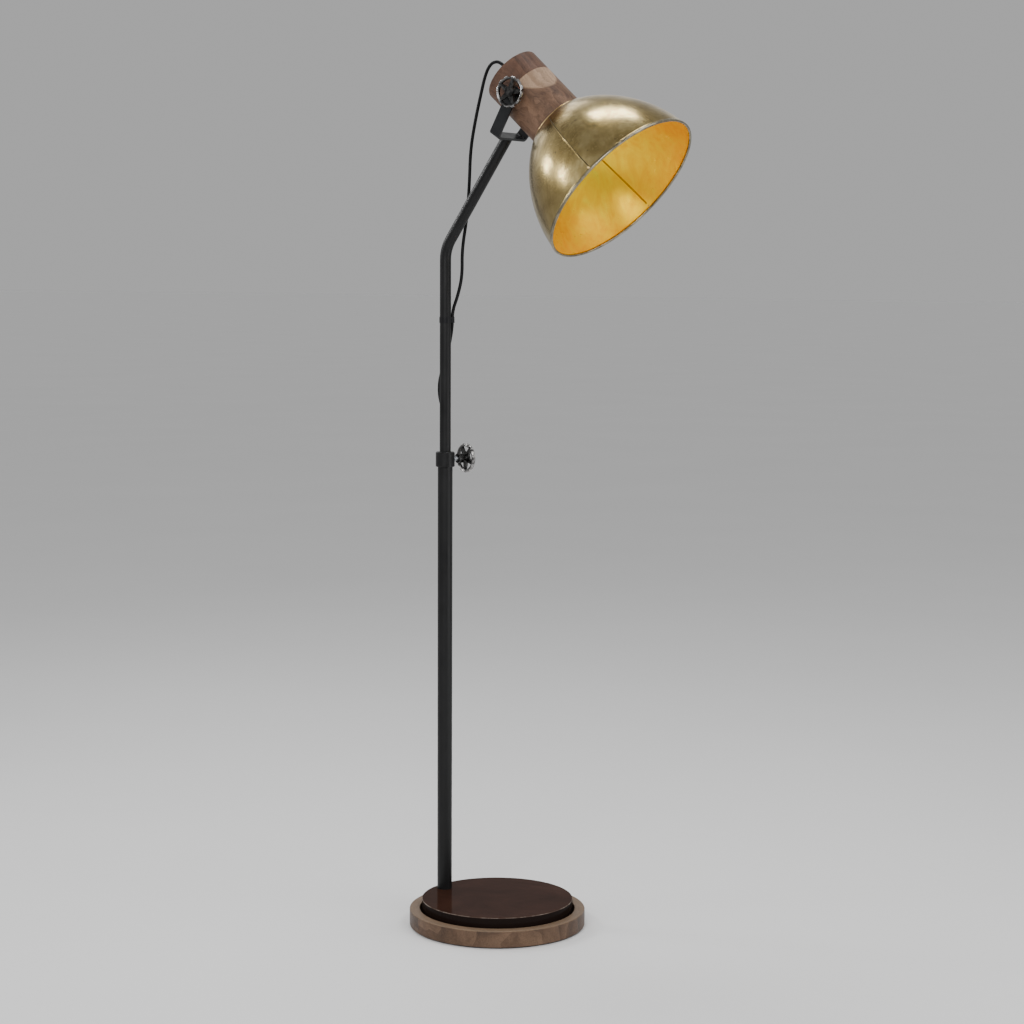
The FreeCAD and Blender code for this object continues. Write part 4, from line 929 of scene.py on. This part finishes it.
# %% From the head to the clip
hanging = [
    RELIEF_TIP,
    RELIEF_TIP - 0.0124 * ALONG,
    spot(-14.0, 0.5, 1458.9),
    spot(-24.2, 1.5, 1451.3),
    spot(-32.4, 2.5, 1435.2),
    spot(-40.4, 3.5, 1408.0),
    spot(-53.0, 6.5, 1367.0),
    spot(-65.6, 10.5, 1317.0),
    spot(-69.4, 13.5, 1262.0),
    spot(-75.0, 15.5, 1206.0),
    spot(-85.8, 16.0, 1151.0),
    spot(-84.0, 14.5, 1106.0),
    spot(-92.0, 12.5, 1072.0),
    by_clip(1047),
    by_clip(1032),
]
loop, loop_path, loop_length = cord_tube("cord_loop", hanging)
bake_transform(loop)
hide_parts("cord_head")

# %% From the clip down the pole
down_pole = [
    by_clip(1032),
    by_clip(1019),
    by_pole(-5.0, 18.3, 985),
    by_pole(-13.8, 15.0, 957),
    by_pole(-19.3, 6.1, 915),
    by_pole(-14.0, 14.3, 874),
    by_pole(-11.5, 17.8, 834),
    by_pole(-11.0, 16.8, 788),
    by_pole(-11.4, 16.7, 733),
    by_pole(-9.0, 14.4, 666),
    by_pole(-9.4, 15.2, 594),
    by_pole(-8.8, 14.6, 524),
    by_pole(-9.3, 14.6, 456),
]
riser, riser_path, riser_length = cord_tube("cord_on_mast", down_pole)
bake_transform(riser)
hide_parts("cord_riser")
low_pole = [
    by_pole(-9.3, 14.6, 456),
    by_pole(-9.8, 14.6, 390),
    by_pole(-9.5, 14.6, 320),
    by_pole(-9.1, 15.0, 252),
    by_pole(-8.0, 15.4, 190),
    by_pole(-9.2, 15.2, 134),
]
fall, fall_path, fall_length = cord_tube("cord_on_pole", low_pole)
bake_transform(fall)
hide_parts("cord_fall")

# %% Over the base's rear edge to the switch
pole_side = 1000 * float(POLE @ REAR_SIDE)
pole_rear = 1000 * float(POLE @ REAR_WAY)
SWITCH_LENGTH = 62
to_switch = [
    low_pole[-1],
    rear(pole_side - 0.3, pole_rear + 18, 106),
    rear(pole_side - 0.8, pole_rear + 24, 78),
    rear(pole_side - 1.8, pole_rear + 38.5, 53),
    rear(pole_side - 2.5, pole_rear + 60, 36),
    rear(pole_side + 0.5, pole_rear + 82, 24.5),
    rear(pole_side + 9.5, pole_rear + 101, 15.6),
    rear(pole_side + 25, pole_rear + 112, 10.6),
    rear(pole_side + 41, pole_rear + 114.5, 9),
]
floor_cord, floor_path, floor_length = cord_tube("cord_over_base", to_switch)
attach(floor_cord, "base")
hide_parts("cord_floor")

# %% [markdown]
# ## The stored coil
# The spare length is wound into a neat round coil.  Three turns lie side by side
# on the floor, and two and a half more go back out on top of them.  The radius
# steps by one cord from turn to turn within a short part of the turn.

# %% Coil and plug end
COIL_SIDE, COIL_REAR = 50.0, 193.0
COIL_STEP = 5.5
COIL_OUTER = 34.75
COIL_LEVEL = 3.1
COIL_RISE = 5.0
POINTS_A_TURN = 14


def coil_places(first, last):
    """Angle runs evenly.  Radius = outer - step x (how many turns in), eased from
    turn to turn; past the third turn it grows again, one layer up."""
    angle = np.linspace(first, last, int((last - first) / 360 * POINTS_A_TURN) + 1)
    turns = (angle - first) / 360
    whole, part = np.floor(turns), turns % 1
    eased_part = np.clip((part - 0.8) / 0.2, 0, 1)
    ladder = whole + eased_part * eased_part * (3 - 2 * eased_part)
    inward = np.where(ladder <= 2.0, ladder, np.where(ladder <= 3.0, 2.0, 5.0 - np.minimum(ladder, 5.0)))
    raised = np.clip(ladder - 2.0, 0, 1)
    radius = COIL_OUTER - COIL_STEP * inward
    level = COIL_LEVEL + COIL_RISE * raised
    a = np.radians(angle)
    side = COIL_SIDE + radius * np.cos(a)
    back = COIL_REAR + radius * np.sin(a)
    return [rear(s, b, u) for s, b, u in zip(side, back, level)]


switch_out = rear(pole_side + 41 + SWITCH_LENGTH, pole_rear + 114.5, 9)
spare = [
    switch_out,
    rear(COIL_SIDE - 29, COIL_REAR - 21.3, 7.4),
    rear(COIL_SIDE - 18, COIL_REAR - 26.5, 5.0),
    *coil_places(-100.0, 95.0 + 5 * 360.0),
    rear(COIL_SIDE - 17, COIL_REAR + 32.0, 7.0),
    rear(COIL_SIDE - 31, COIL_REAR + 27.0, 5.2),
    rear(COIL_SIDE - 46, COIL_REAR + 22.0, 6.2),
    rear(-8, 214, 7),
]
coil, coil_path, coil_length = cord_tube("cord_coil_and_end", spare)
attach(coil, "base")
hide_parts("cord_lead", "cord_coil", "cord_tail")
print("whole cord", round(loop_length + riser_length + fall_length + floor_length + coil_length, 2), "m")

# %% [markdown]
# ## Floor
# The floor is a wide plain sheet, not part of the lamp.  It is nearly the colour
# of the sky's edge, so no hard line shows where it ends.

# %% Floor and a count of the dressed nodes
FLOOR_HALF = 80.0
FLOOR_LEVEL = -0.0002
floor_mesh = bpy.data.meshes.new("floor")
corner = np.array([[-1, -1], [1, -1], [1, 1], [-1, 1]]) * FLOOR_HALF
floor_mesh.from_pydata([(*place, FLOOR_LEVEL) for place in corner], [], [(0, 1, 2, 3)])
floor = bpy.data.objects.new("floor", floor_mesh)
bpy.context.scene.collection.objects.link(floor)
plain = Finish("studio_floor")
floor_tone = plain.ramp(plain.noise(plain.place(), 1.2, 3.0), (0.3, 0.78), (0.7, 0.80))
floor_mesh.materials.append(plain.finish(floor_tone, 0.75))

print("nodes dressed:", len(FINISHED), "of", len(frame["nodes"]))
